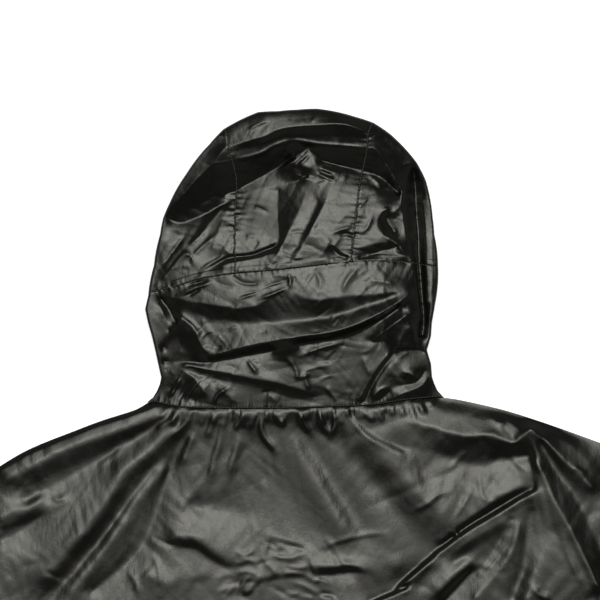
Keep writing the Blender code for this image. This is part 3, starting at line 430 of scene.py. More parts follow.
def add_folds(chart, folds):
    """Adds folds to a map. Each is a bell across its line, the exponential of minus the distance over
    its reach to a power, with one reach on the upper or right side and another on the lower or left
    side, and it fades towards its ends. A rounding of half a millimetre keeps its crest smooth."""
    for _, rise, upper, lower, power, line in folds:
        path = curve_through(line, np.linspace(0.0, 1.0, 5 * len(line)))
        found = beside_path(chart, path, FOLD_TRIM * max(upper, lower))
        if found is None:
            continue
        window, distance, side, place = found
        reach = blend(lower, upper, (1 + side) / 2)
        fade = smooth(place / 0.3) * smooth((1 - place) / 0.3)
        rounded = np.hypot(distance, CREST_ROUNDING) - CREST_ROUNDING
        chart["z"][window] += rise * blend(0.15, 1.0, fade) * np.exp(-((rounded / reach) ** power))


def scattered_creases(seed, count, low, high, rise, reach, length, heading):
    """Short creases for a table of folds, strewn by a seeded draw. heading gives the way that most of
    them run at a place, in radians."""
    draw = np.random.default_rng(seed)
    rows = []
    for _ in range(count):
        x, y = draw.uniform(low[0], high[0]), draw.uniform(low[1], high[1])
        angle = heading(x, y) + draw.normal(0, 0.45)
        run = draw.uniform(*length)
        bend = draw.normal(0, 0.3)
        ways = [angle - bend, angle, angle + bend]
        line = [(x, y)]
        for way in ways:
            line.append((line[-1][0] + run / 3 * math.cos(way), line[-1][1] + run / 3 * math.sin(way)))
        size = draw.uniform(*reach)
        lift = draw.uniform(*rise) * (1 if draw.random() < 0.6 else -1)
        rows.append(("small crease", lift, size, size * draw.uniform(0.5, 1.2), 1.3, line))
    return rows


def add_crumple(chart, seed, headings, short, long, rise):
    """Adds the fine creases of crushed cloth. For each heading a field of random heights is softened
    more along the heading than across it and folded at its mean, which leaves sharp creases that
    wander, and it shows in patches."""
    draw = np.random.default_rng(seed)
    x, y = np.meshgrid(chart["x"] - chart["x"].mean(), chart["y"] - chart["y"].mean())
    reach = math.hypot(x.max(), y.max())
    for heading in headings:
        fields = []
        for across, along in ((short, long), (5 * short, 5 * short)):
            step = across / 3
            field = softened(draw.normal(size=[int(2 * reach / step) + 2] * 2), 3.0, along / step)
            grid = {"low": (-reach, -reach), "step": step, "z": field / field.std()}
            turned_x = x * math.cos(heading) + y * math.sin(heading)
            turned_y = y * math.cos(heading) - x * math.sin(heading)
            fields.append(read_height(grid, turned_x, turned_y))
        chart["z"] += rise * (np.abs(fields[0]) - 0.8) * smooth(0.45 + 0.45 * fields[1])


def add_seam(chart, line, depth, pucker, reach, seed, allowance):
    """Presses a seam into a map: a narrow groove on its line, and on both sides small puckers across
    it, three waves of unlike pitch along the seam that die away from it. The cloth is thicker over
    the allowance on the seam's upper side."""
    length = sum(math.dist(a, b) for a, b in zip(line[:-1], line[1:]))
    path = curve_through(line, np.linspace(0.0, 1.0, int(length / 3)))
    window, distance, side, place = beside_path(chart, path, 4 * reach)
    side, place = np.sign(side), place * length
    draw = np.random.default_rng(seed)
    wave = 0.0
    for pitch in (4.6, 6.7, 10.3):
        phase = draw.uniform(0, 6.3)
        wander = 1.6 * np.sin(place / draw.uniform(17, 31) + draw.uniform(0, 6.3))
        wave += np.sin(2 * math.pi * place / pitch + phase + wander + 0.9 * side) / 2
    strength = 0.6 + 0.4 * np.sin(place / 14.0 + draw.uniform(0, 6.3))
    chart["z"][window] += pucker * strength * wave * np.exp(-((distance / reach) ** 1.2))
    chart["z"][window] -= depth * np.exp(-((distance / GROOVE_REACH) ** 2))
    if allowance:
        chart["z"][window] += ALLOWANCE_RISE * smooth((allowance - distance) / 1.2) * (side > 0)


def edge_of_hood():
    """The line where the hood's upper cloth begins to turn over, right side, top, left side."""
    lower = np.arange(0.0, HOOD_CENTRE_Y, 6.0)
    angle = np.radians(np.arange(0.0, 180.1, 4.0))
    depth = blend(*ROLL_DEPTH, neck_share(lower))
    inner = outline_radius(angle) - ROLL_DEPTH[1]
    right = np.column_stack([half_width(lower, 1) - depth, lower, from_table(EDGE_BELOW, lower)])
    left = np.column_stack([depth - half_width(lower, -1), lower, from_table(EDGE_BELOW, lower)])
    top_y = np.sin(angle) * inner + HOOD_CENTRE_Y
    top = np.column_stack([np.cos(angle) * inner, top_y, from_table(EDGE_ABOVE, np.degrees(angle))])
    return np.vstack([right, top, left[::-1]])


hood_map = height_map((-140.0, -12.0), (136.0, 266.0), 0.5)
neck_curve = curve_through(NECK_LINE, np.linspace(0.0, 1.0, 60))
neck_border = np.column_stack([neck_curve, from_table(NECK_HEIGHT, neck_curve[:, 0])])
hood_borders = [("neck", 0.8, neck_border), ("turned edge", 3.0, edge_of_hood())]
lay_cloth(hood_map, HOOD_CREASES, hood_borders, reach=8.0, kept=0.8)
laid = hood_map["z"].copy()
HOOD_DETAIL = [
    # name, rise, upper, lower, power, line
    ("second crest", 0.9, 1.3, 0.9, 1.3, [
        (-72, 211), (-60, 213), (-33, 220), (-20, 227), (-3, 231.6), (19, 228.6), (45, 226.6), (60, 225),
        (69, 223.5), (76, 213), (84, 200),
    ]),
    ("left fan", 0.9, 2.6, 1.6, 1.3, [(-76, 160), (-84, 150), (-96, 138)]),
    ("left fan", 0.8, 2.2, 1.6, 1.3, [(-70, 150), (-82, 140), (-94, 128)]),
    ("left fan", 0.9, 2.0, 1.4, 1.3, [(-60, 132), (-72, 126), (-86, 118)]),
    ("left fan", -0.8, 2.0, 1.6, 1.3, [(-98, 150), (-108, 136), (-118, 122)]),
    ("seam fan", -1.1, 1.6, 1.2, 1.3, [(-98, 104), (-88, 107), (-76, 110)]),
    ("seam fan", -1.2, 1.8, 1.2, 1.3, [(-97, 95), (-90, 99), (-84, 103)]),
    ("seam fan", 0.9, 2.0, 1.4, 1.3, [(-104, 96), (-92, 101), (-74, 108)]),
    ("band wrinkle", 1.1, 1.6, 1.1, 1.2, [(-52, 93), (-40, 97), (-28, 102), (-14, 107)]),
    ("band wrinkle", -1.1, 1.4, 1.2, 1.2, [(-50, 96), (-36, 99), (-22, 105), (-8, 110)]),
    ("band wrinkle", 1.0, 1.6, 1.2, 1.2, [(-34, 93), (-22, 97), (-8, 103)]),
    ("band wrinkle", -0.9, 2.0, 1.4, 1.2, [(-60, 116), (-50, 108), (-40, 106), (-30, 108)]),
    ("band wrinkle", 0.9, 2.0, 1.4, 1.2, [(-8, 116), (-6, 108), (-8, 102)]),
    ("band fold", 1.0, 3.5, 2.5, 1.4, [(55, 122), (46, 112), (38, 98)]),
    ("band fold", -0.8, 3.5, 2.5, 1.4, [(14, 120), (20, 110), (21, 98)]),
    ("band fold", 0.7, 2.5, 2.5, 1.4, [(62, 110), (74, 108), (88, 106)]),
    ("flap wrinkle", 0.9, 2.4, 1.8, 1.4, [(-10, 42), (-4, 36), (0, 28), (-2, 20)]),
    ("flap wrinkle", 0.8, 2.4, 1.8, 1.4, [(-44, 40), (-40, 34), (-34, 26)]),
    ("second ridge", 1.5, 2.8, 1.6, 1.4, [(4, 43), (14, 47.5), (26, 51), (40, 54.5)]),
    ("patch fold", 1.0, 2.8, 2.0, 1.4, [(6, 30), (8, 20), (12, 12)]),
    ("patch fold", 0.8, 2.4, 2.0, 1.4, [(24, 16), (30, 10), (36, 2)]),
    ("patch fold", 0.8, 3.5, 2.5, 1.4, [(56, 44), (62, 32), (66, 24)]),
    ("corner fold", 1.3, 1.8, 1.2, 1.3, [(-113, 5), (-107, 15), (-102, 25)]),
    ("corner fold", 1.1, 1.6, 1.2, 1.3, [(-99, 1), (-94, 11), (-86, 21)]),
    ("corner fold", -1.0, 1.6, 1.2, 1.3, [(-104, 3), (-99, 13), (-93, 22)]),
    ("corner fold", 1.0, 1.8, 1.2, 1.3, [(-74, -1), (-70, 8), (-60, 15)]),
    ("corner fold", 0.9, 1.8, 1.4, 1.3, [(66, 4), (72, 12), (80, 16)]),
    ("corner fold", -1.0, 1.6, 1.4, 1.3, [(70, 2), (78, 8), (84, 14)]),
    ("corner fold", 0.8, 1.8, 1.4, 1.3, [(92, 2), (98, 6), (110, 8)]),
    ("brow wrinkle", 0.8, 2.0, 1.6, 1.4, [(12, 246), (16, 252), (18, 258)]),
    ("brow wrinkle", -0.9, 2.0, 1.6, 1.4, [(-16, 252), (-10, 254), (-4, 250)]),
    ("brow wrinkle", -0.9, 2.0, 1.6, 1.4, [(28, 250), (34, 254), (40, 251)]),
    ("brow wrinkle", 0.9, 2.0, 1.6, 1.4, [(-44, 240), (-34, 246), (-22, 250)]),
    ("brow wrinkle", 0.9, 1.8, 1.4, 1.3, [(64, 234), (76, 236), (84, 230)]),
    ("brow wrinkle", 1.0, 2.4, 1.8, 1.4, [(80, 231), (88, 228), (96, 220)]),
    ("brow wrinkle", 0.9, 2.4, 1.8, 1.4, [(70, 238), (80, 236), (88, 230)]),
    ("bridge wrinkle", 0.6, 1.4, 1.0, 1.3, [(2, 216), (6, 220), (10, 226)]),
    ("bridge wrinkle", 0.5, 1.4, 1.0, 1.3, [(0, 210), (6, 214), (12, 220)]),
    ("bridge wrinkle", -0.6, 1.3, 1.0, 1.3, [(-3, 211), (4, 215), (9, 222)]),
    ("bridge wrinkle", 0.9, 1.4, 1.0, 1.3, [(20, 208), (28, 205), (34, 204)]),
    ("bridge wrinkle", 0.9, 1.4, 1.0, 1.3, [(17, 203), (26, 199), (34, 196)]),
    ("bridge wrinkle", -0.9, 1.3, 1.0, 1.3, [(18, 206), (27, 202), (33, 200)]),
    ("temple wrinkle", 1.0, 1.6, 1.2, 1.3, [(62, 202), (70, 196), (74, 188)]),
    ("temple wrinkle", -0.9, 1.8, 1.2, 1.3, [(66, 192), (74, 190), (84, 184)]),
    ("right wrinkle", 0.8, 2.0, 1.4, 1.3, [(56, 150), (62, 156), (66, 166)]),
    ("right wrinkle", -0.8, 2.0, 1.4, 1.3, [(36, 148), (44, 150), (52, 146)]),
    ("right wrinkle", 0.8, 2.0, 1.4, 1.3, [(30, 150), (40, 154), (50, 156)]),
]


def inside_outline(chart):
    """How far each place of a map lies within the hood's outline."""
    x, y = np.meshgrid(chart["x"], chart["y"])
    rise = y - HOOD_CENTRE_Y
    upper = outline_radius(np.arctan2(np.maximum(rise, 0.0), x)) - np.hypot(x, rise)
    lower = np.where(x < 0, half_width(y, -1), half_width(y, 1)) - np.abs(x)
    return np.where(rise > 0, upper, lower)


add_folds(hood_map, HOOD_DETAIL)
add_folds(hood_map, scattered_creases(
    seed=11, count=110, low=(-118, 4), high=(96, 196), rise=(0.15, 0.5), reach=(1.2, 2.6), length=(7, 26),
    heading=lambda x, y: 0.5 + 0.4 * math.sin(x / 30),
))
add_crumple(hood_map, seed=12, headings=(0.9, -0.5, 0.2), short=4.2, long=34.0, rise=0.42)
add_crumple(hood_map, seed=13, headings=(1.1, -0.2, 2.2), short=2.0, long=14.0, rise=0.15)
hood_map["z"] = blend(laid, hood_map["z"], smooth(inside_outline(hood_map) / FOLDS_START))
for line, depth, pucker, reach, seed, allowance in (
    (HORIZONTAL_SEAM, 0.3, 0.3, 3.6, 3, 6.0),
    (CROWN_SEAM_LEFT, 0.35, 0.4, 6.0, 4, 0.0),
    (CROWN_SEAM_RIGHT, 0.4, 0.5, 5.5, 5, 0.0),
    (NECK_LINE, 1.2, 0.5, 6.0, 6, 0.0),
):
    add_seam(hood_map, line, depth, pucker, reach, seed, allowance)


def kept_above(height, lowest):
    """The height, or where that is less the lowest one, with a soft passage between them: a settling
    distance times the logarithm of one plus the exponential of the height over that distance."""
    return lowest + SETTLE * np.logaddexp(0.0, (height - lowest) / SETTLE)


def hood_height(x, y):
    """Height of the hood's upper cloth, never below the cloth that lies under it."""
    return kept_above(read_height(hood_map, x, y), UPPER_LEVEL)


def hood_edge(angle, y, side):
    """Centre, outward direction and radius at a place on the hood's outline: an angle above the
    hood's centre, and a height below it."""
    upper = y > HOOD_CENTRE_Y
    direction_x = np.where(upper, np.cos(angle), side)
    direction_y = np.where(upper, np.sin(angle), 0.0)
    centre_y = np.where(upper, HOOD_CENTRE_Y, y)
    radius = np.where(upper, outline_radius(angle), half_width(y, side))
    return centre_y, direction_x, direction_y, radius


def hood_points(angle, y, side, reach, lip):
    """Points of the hood's cloth out from its centre. reach runs from 0 to 1 over the upper side, from
    1 to 2 round the rolled edge, and from 2 to 3 inwards on the floor, where the cloth covers lip
    millimetres. The rolled edge is half an ellipse, less the slope at which the cloth comes to it
    times sine times cosine of the turn, so that it starts at that slope."""
    centre_y, direction_x, direction_y, radius = hood_edge(angle, y, side)
    depth = blend(*ROLL_DEPTH, neck_share(y))
    inner = radius - depth
    turn = math.pi * np.clip(reach - 1.0, 0.0, 1.0)
    under = np.clip(reach - 2.0, 0.0, 1.0) * lip
    distance = np.clip(reach, 0.0, 1.0) * inner + depth * np.sin(turn) - under
    x = direction_x * distance
    place_y = centre_y + direction_y * distance
    over = reach > 1
    edge_x, edge_y = direction_x * inner, centre_y + direction_y * inner
    top = hood_height(np.where(over, edge_x, x), np.where(over, edge_y, place_y))
    within = inner - EDGE_STEP
    before = hood_height(direction_x * within, centre_y + direction_y * within)
    half = (top - FLOOR_LEVEL) / 2
    slope = np.clip((before - top) / EDGE_STEP * depth, 0.0, 0.85 * half)
    rolled = FLOOR_LEVEL + half + half * np.cos(turn) - slope * np.sin(turn) * np.maximum(np.cos(turn), 0.0)
    height = np.where(over, rolled, top)
    return x, place_y, np.where(reach > 2, FLOOR_LEVEL, height)


def seam_place(points):
    """Angle and reach, from the hood's centre, of points on its upper side."""
    x, y = points[:, 0], points[:, 1] - HOOD_CENTRE_Y
    angle = np.arctan2(y, x)
    return angle, np.hypot(x, y) / (outline_radius(angle) - ROLL_DEPTH[1])


def beyond_edge():
    """Reach of the rows round the rolled edge and under the hood."""
    rolled = 1.0 + np.arange(1, ROLL_STEPS + 1) / ROLL_STEPS
    return np.concatenate([rolled, 2.0 + np.arange(1, UNDER_STEPS + 1) / UNDER_STEPS])


def crown_seam(line):
    """The whole of a crown seam, from the horizontal seam over the top to the face opening."""
    upper = curve_through(line, np.linspace(0.0, 1.0, CROWN_ROWS + 1))
    angle, reach = seam_place(upper)
    reach[-1] = 1.0
    beyond = beyond_edge()
    return np.concatenate([angle, np.full(beyond.size, angle[-1])]), np.concatenate([reach, beyond])


def on_seam(left, right, columns):
    """The horizontal seam between two of its points, at evenly spaced x."""
    seam = curve_through(HORIZONTAL_SEAM, np.linspace(0.0, 1.0, 241))
    shares = np.linspace(0.0, 1.0, columns + 1)
    x = blend(left[0], right[0], shares)
    y = np.interp(x, seam[:, 0], seam[:, 1])
    y += blend(left[1] - y[0], right[1] - y[-1], shares)
    return np.column_stack([x, y])


def coons(bottom, top, left, right, along=None):
    """A flat patch between four edges: the two ruled surfaces between facing edges added, less the one
    through the four corners. Rows run from bottom to top, columns from left to right."""
    across = np.linspace(0.0, 1.0, len(bottom))
    along = np.linspace(0.0, 1.0, len(left)) if along is None else along
    u, v = across[None, :, None], along[:, None, None]
    ruled = (1 - v) * bottom[None] + v * top[None] + (1 - u) * left[:, None] + u * right[:, None]
    corners = (1 - v) * ((1 - u) * bottom[0] + u * bottom[-1]) + v * ((1 - u) * top[0] + u * top[-1])
    return ruled - corners


def crown_points():
    """The centre panel: from the horizontal seam over the top and under to the face opening."""
    foot = on_seam(CROWN_SEAM_LEFT[0], CROWN_SEAM_RIGHT[0], TOP_COLUMNS[1])
    seams = (CROWN_SEAM_LEFT, CROWN_SEAM_RIGHT)
    left, right = (curve_through(line, np.linspace(0.0, 1.0, CROWN_ROWS + 1)) for line in seams)
    left_angle, right_angle = (crown_seam(line)[0][-1] for line in seams)
    angle = blend(left_angle, right_angle, np.linspace(0.0, 1.0, TOP_COLUMNS[1] + 1))
    inner = outline_radius(angle) - ROLL_DEPTH[1]
    top = np.column_stack([np.cos(angle) * inner, np.sin(angle) * inner + HOOD_CENTRE_Y])
    left[-1], right[-1] = top[0], top[-1]
    flat = coons(foot, top, left, right)
    upper = np.dstack([flat, hood_height(flat[..., 0], flat[..., 1])])
    reach = beyond_edge()[:, None] * np.ones(angle.size)[None, :]
    above = np.full(reach.shape, HOOD_CENTRE_Y + 1.0)
    beyond = np.dstack(hood_points(angle[None, :] + 0 * reach, above, 1, reach, LIP_WIDTH))
    return np.concatenate([upper, beyond], axis=0)


def turned_in(grid, width, drop):
    """A grid with a turned hem before its first row: the cloth turns through half a millimetre and
    runs back beside itself for the hem's width, a drop below it, or above it where that is negative."""
    edge, inward = grid[0], grid[1] - grid[0]
    inward = np.column_stack([inward[:, :2], np.zeros(len(inward))])
    inward /= np.linalg.norm(inward, axis=1)[:, None]
    shares = np.array([1.0, 0.66, 0.33, 0.02])[:, None, None]
    below = edge - np.array([0.0, 0.0, drop])
    fold = edge - 0.5 * inward - np.array([0.0, 0.0, drop / 2])
    return np.concatenate([below + width * shares * inward, fold[None], grid])


def mesh_of(name, points, faces):
    """A named object with one smooth mesh, in the finished part's own frame."""
    points = (np.asarray(points, dtype=float).reshape(-1, 3) - np.array([*ORIGIN, 0.0])) * MM
    mesh = bpy.data.meshes.new(name)
    mesh.vertices.add(len(points))
    mesh.vertices.foreach_set("co", points.astype(np.float32).ravel())
    mesh.loops.add(faces.size)
    mesh.loops.foreach_set("vertex_index", faces.astype(np.int32).ravel())
    mesh.polygons.add(len(faces))
    mesh.polygons.foreach_set("loop_start", np.arange(0, faces.size, faces.shape[1], dtype=np.int32))
    mesh.polygons.foreach_set("use_smooth", np.ones(len(faces), dtype=bool))
    mesh.update(calc_edges=True)
    mesh.validate()
    made = bpy.data.objects.new(name, mesh)
    bpy.context.scene.collection.objects.link(made)
    return made


def grid_faces(rows, columns, closed):
    """Four-sided faces between rows and columns of points. In a closed grid the last column joins the
    first."""
    here = np.arange(rows * columns).reshape(rows, columns)
    if closed:
        here = np.hstack([here, here[:, :1]])
    return np.stack([here[:-1, :-1], here[:-1, 1:], here[1:, 1:], here[1:, :-1]], axis=-1).reshape(-1, 4)


def cloth_piece(name, points, closed=False, wall=True):
    """A panel of cloth through rows and columns of points, with a wall of its thickness or without."""
    made = mesh_of(name, points, grid_faces(*points.shape[:2], closed))
    if wall:
        shell = made.modifiers.new("cloth", "SOLIDIFY")
        shell.thickness = CLOTH * MM
        shell.offset = 0.0
    return made


class Wire:
    """A socket of a shader, so that shader maths is written as arithmetic."""

    def __init__(self, tree, socket):
        self.tree, self.socket = tree, socket

    def node(self, kind, settings=None, out=0, **sockets):
        """A new node of a kind, its settings put first and then its sockets, which are named with _ for
        a space or numbered as in_0. Returns the output asked for."""
        made = self.tree.nodes.new(kind)
        for key, value in (settings or {}).items():
            setattr(made, key, value)
        for key, value in sockets.items():
            socket = made.inputs[int(key[3:]) if key.startswith("in_") else key.replace("_", " ")]
            if isinstance(value, Wire):
                self.tree.links.new(value.socket, socket)
            else:
                socket.default_value = value
        return Wire(self.tree, made.outputs[out])

    def maths(self, operation, other):
        return self.node("ShaderNodeMath", {"operation": operation}, in_0=self, in_1=other)

    def __add__(self, other):
        return self.maths("ADD", other)

    def __mul__(self, other):
        return self.maths("MULTIPLY", other)

    __radd__ = __add__
    __rmul__ = __mul__


def new_surface(name, roughness, **fixed):
    """A material's Principled surface, with the values that are the same all over it set."""
    material = bpy.data.materials.new(name)
    material.use_nodes = True
    surface = material.node_tree.nodes["Principled BSDF"]
    surface.inputs["Roughness"].default_value = roughness
    for key, value in fixed.items():
        surface.inputs[key.replace("_", " ")].default_value = value
    place = Wire(material.node_tree, material.node_tree.nodes.new("ShaderNodeTexCoord").outputs["Object"])
    return material, surface, place


def join(wire, surface, socket):
    """Leads a wire to a socket of the surface."""
    wire.tree.links.new(wire.socket, surface.inputs[socket])


def two_tone(share, first, second):
    """A colour a share of the way from the first to the second."""
    return share.node("ShaderNodeMix", {"data_type": "RGBA"}, out=2, Factor=share, in_6=first, in_7=second)


def noise(place, scale, detail, roughness=0.5, kind="FBM"):
    """A cloudy pattern, finer with scale and richer with detail and roughness."""
    sockets = {"Scale": scale, "Detail": detail, "Roughness": roughness}
    return place.node("ShaderNodeTexNoise", {"noise_type": kind}, Vector=place, **sockets)


def bands(place, direction, scale):
    """A pattern of even bands along a direction."""
    return place.node("ShaderNodeTexWave", {"bands_direction": direction}, out=1, Vector=place, Scale=scale)


NYLON = (0.0022, 0.0021, 0.0017, 1.0)
NYLON_WORN = (0.0058, 0.0055, 0.0045, 1.0)
NYLON_SHEEN = (0.972, 0.965, 0.885, 1.0)
WEAVE_SCALE = 620.0


def coated_nylon():
    """Dark olive-grey nylon with a satin coating: cloudy coating, fine handling creases and a weave."""
    material, surface, place = new_surface("coated nylon", 0.32, Specular_Tint=NYLON_SHEEN)
    surface.inputs["Specular IOR Level"].default_value = 0.42
    cloud, fine = noise(place, 42.0, 4.0, 0.6), noise(place, 260.0, 3.0, 0.55)
    join(two_tone(cloud, NYLON, NYLON_WORN), surface, "Base Color")
    join(0.2 + 0.12 * cloud + 0.05 * fine, surface, "Roughness")
    stretch = place.node("ShaderNodeMapping", Vector=place, Rotation=(0, 0, 0.6), Scale=(1.0, 0.35, 1.0))
    handled = noise(stretch, 170.0, 4.0, 0.62)
    weave = bands(place, "X", WEAVE_SCALE) + bands(place, "Y", WEAVE_SCALE)
    crushed = noise(stretch, 38.0, 3.0, kind="RIDGED_MULTIFRACTAL")
    pressed = noise(place, 90.0, 2.0, kind="RIDGED_MULTIFRACTAL")
    relief = handled * 0.5 + fine * 0.2 + crushed * 0.55 + pressed * 0.18 + weave * 0.015
    join(place.node("ShaderNodeBump", Height=relief, Strength=0.35, Distance=0.0012), surface, "Normal")
    return material


nylon = coated_nylon()


def dress(piece, body, material, slot, *nodes):
    """Gives a piece its finish, sets it on its body and lets it stand for its solids."""
    piece.data.materials.append(material)
    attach(piece, body)
    if nodes:
        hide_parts(*nodes)


crown_grid = crown_points()
hemmed = turned_in(crown_grid[::-1], OPENING_HEM, -HEM_DROP)[::-1]
hood_crown = cloth_piece("hood_centre_panel", hemmed, wall=False)
dress(hood_crown, "garment", nylon, "coated_cloth", "hood_crown")

# ---------------------------------------------------------------- hood, side panels
# One panel on each side of the head, of the same coated nylon. Each is sewn to the centre panel along
# its curved edge and to the lower panel along the seam across the back, and turns in under the hood.

LAST_SIDE_ANGLE = 15.0


def side_seam_start(side):
    """The horizontal seam from the crown seam's foot out to the rolled edge, and its last angle."""
    seam = curve_through(HORIZONTAL_SEAM, np.linspace(0.0, 1.0, 241))
    foot = CROWN_SEAM_LEFT[0] if side < 0 else CROWN_SEAM_RIGHT[0]
    columns = TOP_COLUMNS[0] if side < 0 else TOP_COLUMNS[2]
    end_angle = seam_place(seam[:1] if side < 0 else seam[-1:])[0][0]
    end_radius = outline_radius(end_angle) - ROLL_DEPTH[1]
    end = (math.cos(end_angle) * end_radius, math.sin(end_angle) * end_radius + HOOD_CENTRE_Y)
    return on_seam(foot, end, columns), end_angle


def side_points(side):
    """A side panel: rows fan from the crown seam to the edge of the face opening."""
    seam_angle, seam_reach = crown_seam(CROWN_SEAM_LEFT if side < 0 else CROWN_SEAM_RIGHT)
    start, end_angle = side_seam_start(side)
    start_angle, start_reach = seam_place(start)
    start_reach[-1] = 1.0
    start_angle = np.concatenate([start_angle, np.full(ROLL_STEPS + UNDER_STEPS, end_angle)])
    start_reach = np.concatenate([start_reach, beyond_edge()])
    rows = np.linspace(0.0, 1.0, seam_angle.size)[:, None]
    last_angle = seam_angle[-1] - side * math.radians(LAST_SIDE_ANGLE)
    lip_angle = blend(end_angle, last_angle, rows)
    reach_share = (start_reach - start_reach[0]) / (3.0 - start_reach[0])
    even = np.linspace(0.0, 1.0, start_reach.size)
    angle_share = (start_angle - start_angle[0]) / (end_angle - start_angle[0])
    angle_share = blend(angle_share[None, :], even[None, :], smooth(rows))
    angle = seam_angle[:, None] + (lip_angle - seam_angle[:, None]) * angle_share
    reach = seam_reach[:, None] + (3.0 - seam_reach[:, None]) * reach_share[None, :]
    above = np.full(angle.shape, HOOD_CENTRE_Y + 1.0)
    points = np.dstack(hood_points(angle, above, side, reach, LIP_WIDTH))
    return points if side < 0 else points[:, ::-1]


hood_sides = {}
side_grids = {name: side_points(side) for name, side in (("left", -1), ("right", 1))}
for name, grid in side_grids.items():
    rim_first = grid.transpose(1, 0, 2) if name == "right" else grid[:, ::-1].transpose(1, 0, 2)
    hemmed = turned_in(rim_first, OPENING_HEM, -HEM_DROP).transpose(1, 0, 2)
    hemmed = hemmed if name == "left" else hemmed[:, ::-1]
    hood_sides[name] = cloth_piece("hood_side_panel_" + name, hemmed, wall=False)
    dress(hood_sides[name], "garment", nylon, "coated_cloth", "hood_side_" + name)

# ---------------------------------------------------------------- hood, lower panel
# The band round the back of the neck, gathered a little to the neck seam and joined above to the
# centre and side panels. Its ends come round under the chin to the zip.

LOWER_ROWS = 170
CHIN_SHARE = 0.55
FRONT_NECK_DROP = 75.0
NOTCH_DEPTH = 17.0
EDGE_BLEND = 60.0
NECK_ENDS = (2.0, 6.0)
ZIP_HALF_GAP = 5.0
ZIP_RISE = 1.3
ZIP_RISE_START = 19.0


def spaced(stops, counts):
    """Places from stop to stop, each span in its own number of even steps."""
    spans = [np.linspace(a, b, count + 1)[1:] for a, b, count in zip(stops, stops[1:], counts)]
    return np.concatenate([stops[:1]] + spans)


def neck_points(columns):
    """The back neck seam from left to right, its three stretches in as many columns as given."""
    line = curve_through(NECK_LINE, np.linspace(0.0, 1.0, 161))
    ends = zip((-1, 1), NECK_ENDS)
    left, right = (half_width(y, side) - blend(*ROLL_DEPTH, neck_share(y)) for side, y in ends)
    x = spaced([-left, CROWN_SEAM_LEFT[0][0], CROWN_SEAM_RIGHT[0][0], right], columns)
    return np.column_stack([x, np.interp(x, line[:, 0], line[:, 1])])


def zip_rise(x):
    """How far the front cloth is lifted beside the zip."""
    return ZIP_RISE * smooth((ZIP_RISE_START - np.abs(x)) / (ZIP_RISE_START - ZIP_HALF_GAP))


def lower_points():
    """The lower panel: one strip round the neck, from the zip under the chin round both sides."""
    rows = np.linspace(0.0, 1.0, LOWER_ROWS + 1)
    neck = neck_points(TOP_COLUMNS)
    left_start, left_angle = side_seam_start(-1)
    right_start, right_angle = side_seam_start(1)
    middle = on_seam(CROWN_SEAM_LEFT[0], CROWN_SEAM_RIGHT[0], TOP_COLUMNS[1])
    seam = np.vstack([left_start[::-1], middle[1:-1], right_start])
    flat = neck[None] * (1 - rows)[:, None, None] + seam[None] * rows[:, None, None]
    parts = []
    for side, end_angle, neck_y in ((-1, left_angle, NECK_ENDS[0]), (1, right_angle, NECK_ENDS[1])):
        end_y = HOOD_CENTRE_Y + math.sin(end_angle) * outline_radius(end_angle)
        y = blend(neck_y, end_y, rows)[:, None]
        sine = np.clip((y - HOOD_CENTRE_Y) / outline_radius(end_angle), 0.0, 1.0)
        angle = np.arcsin(sine) if side > 0 else math.pi - np.arcsin(sine)
        angle[-1] = end_angle
        radius = hood_edge(angle, y, side)[3]
        inner = radius - blend(*ROLL_DEPTH, neck_share(y))
        opening = smooth((rows[:, None] - CHIN_SHARE) / (1 - CHIN_SHARE))
        edge = blend(ZIP_HALF_GAP, inner - LIP_WIDTH, opening)
        hidden = NOTCH_DEPTH / (inner - edge)
        reach = beyond_edge()[None, :] + 0 * y
        x, place_y, height = hood_points(angle, y, side, reach, inner - edge)
        under = np.clip(reach - 2.0, 0.0, 1.0)
        place_y = place_y - FRONT_NECK_DROP * (1 - rows[:, None]) * smooth((under - hidden) / (1 - hidden))
        height = height + np.where(under > 0, zip_rise(x), 0.0)
        parts.append(np.dstack([x, place_y, height]))
        column = 0 if side < 0 else -1
        corner_x, corner_y, _ = hood_points(angle, y, side, 1.0 + 0 * y, 0.0)
        shift = np.hstack([corner_x, corner_y]) - flat[:, column]
        near = np.clip(1 - np.abs(flat[..., 0] - flat[:, column, :1]) / EDGE_BLEND, 0.0, 1.0)
        flat += shift[:, None] * near[..., None]
    upper = np.dstack([flat, hood_height(flat[..., 0], flat[..., 1])])
    return np.concatenate([parts[0][:, ::-1], upper, parts[1]], axis=1)


lower_grid = lower_points()
hood_lower = cloth_piece("hood_lower_panel", lower_grid, wall=False)
dress(hood_lower, "garment", nylon, "coated_cloth", "hood_lower_back")

# ---------------------------------------------------------------- back
# The back of the body, one panel of the same nylon from the neck and shoulders to the hem. It lies on
# the two fronts, slack, with long folds that run out from the neck and the arms.

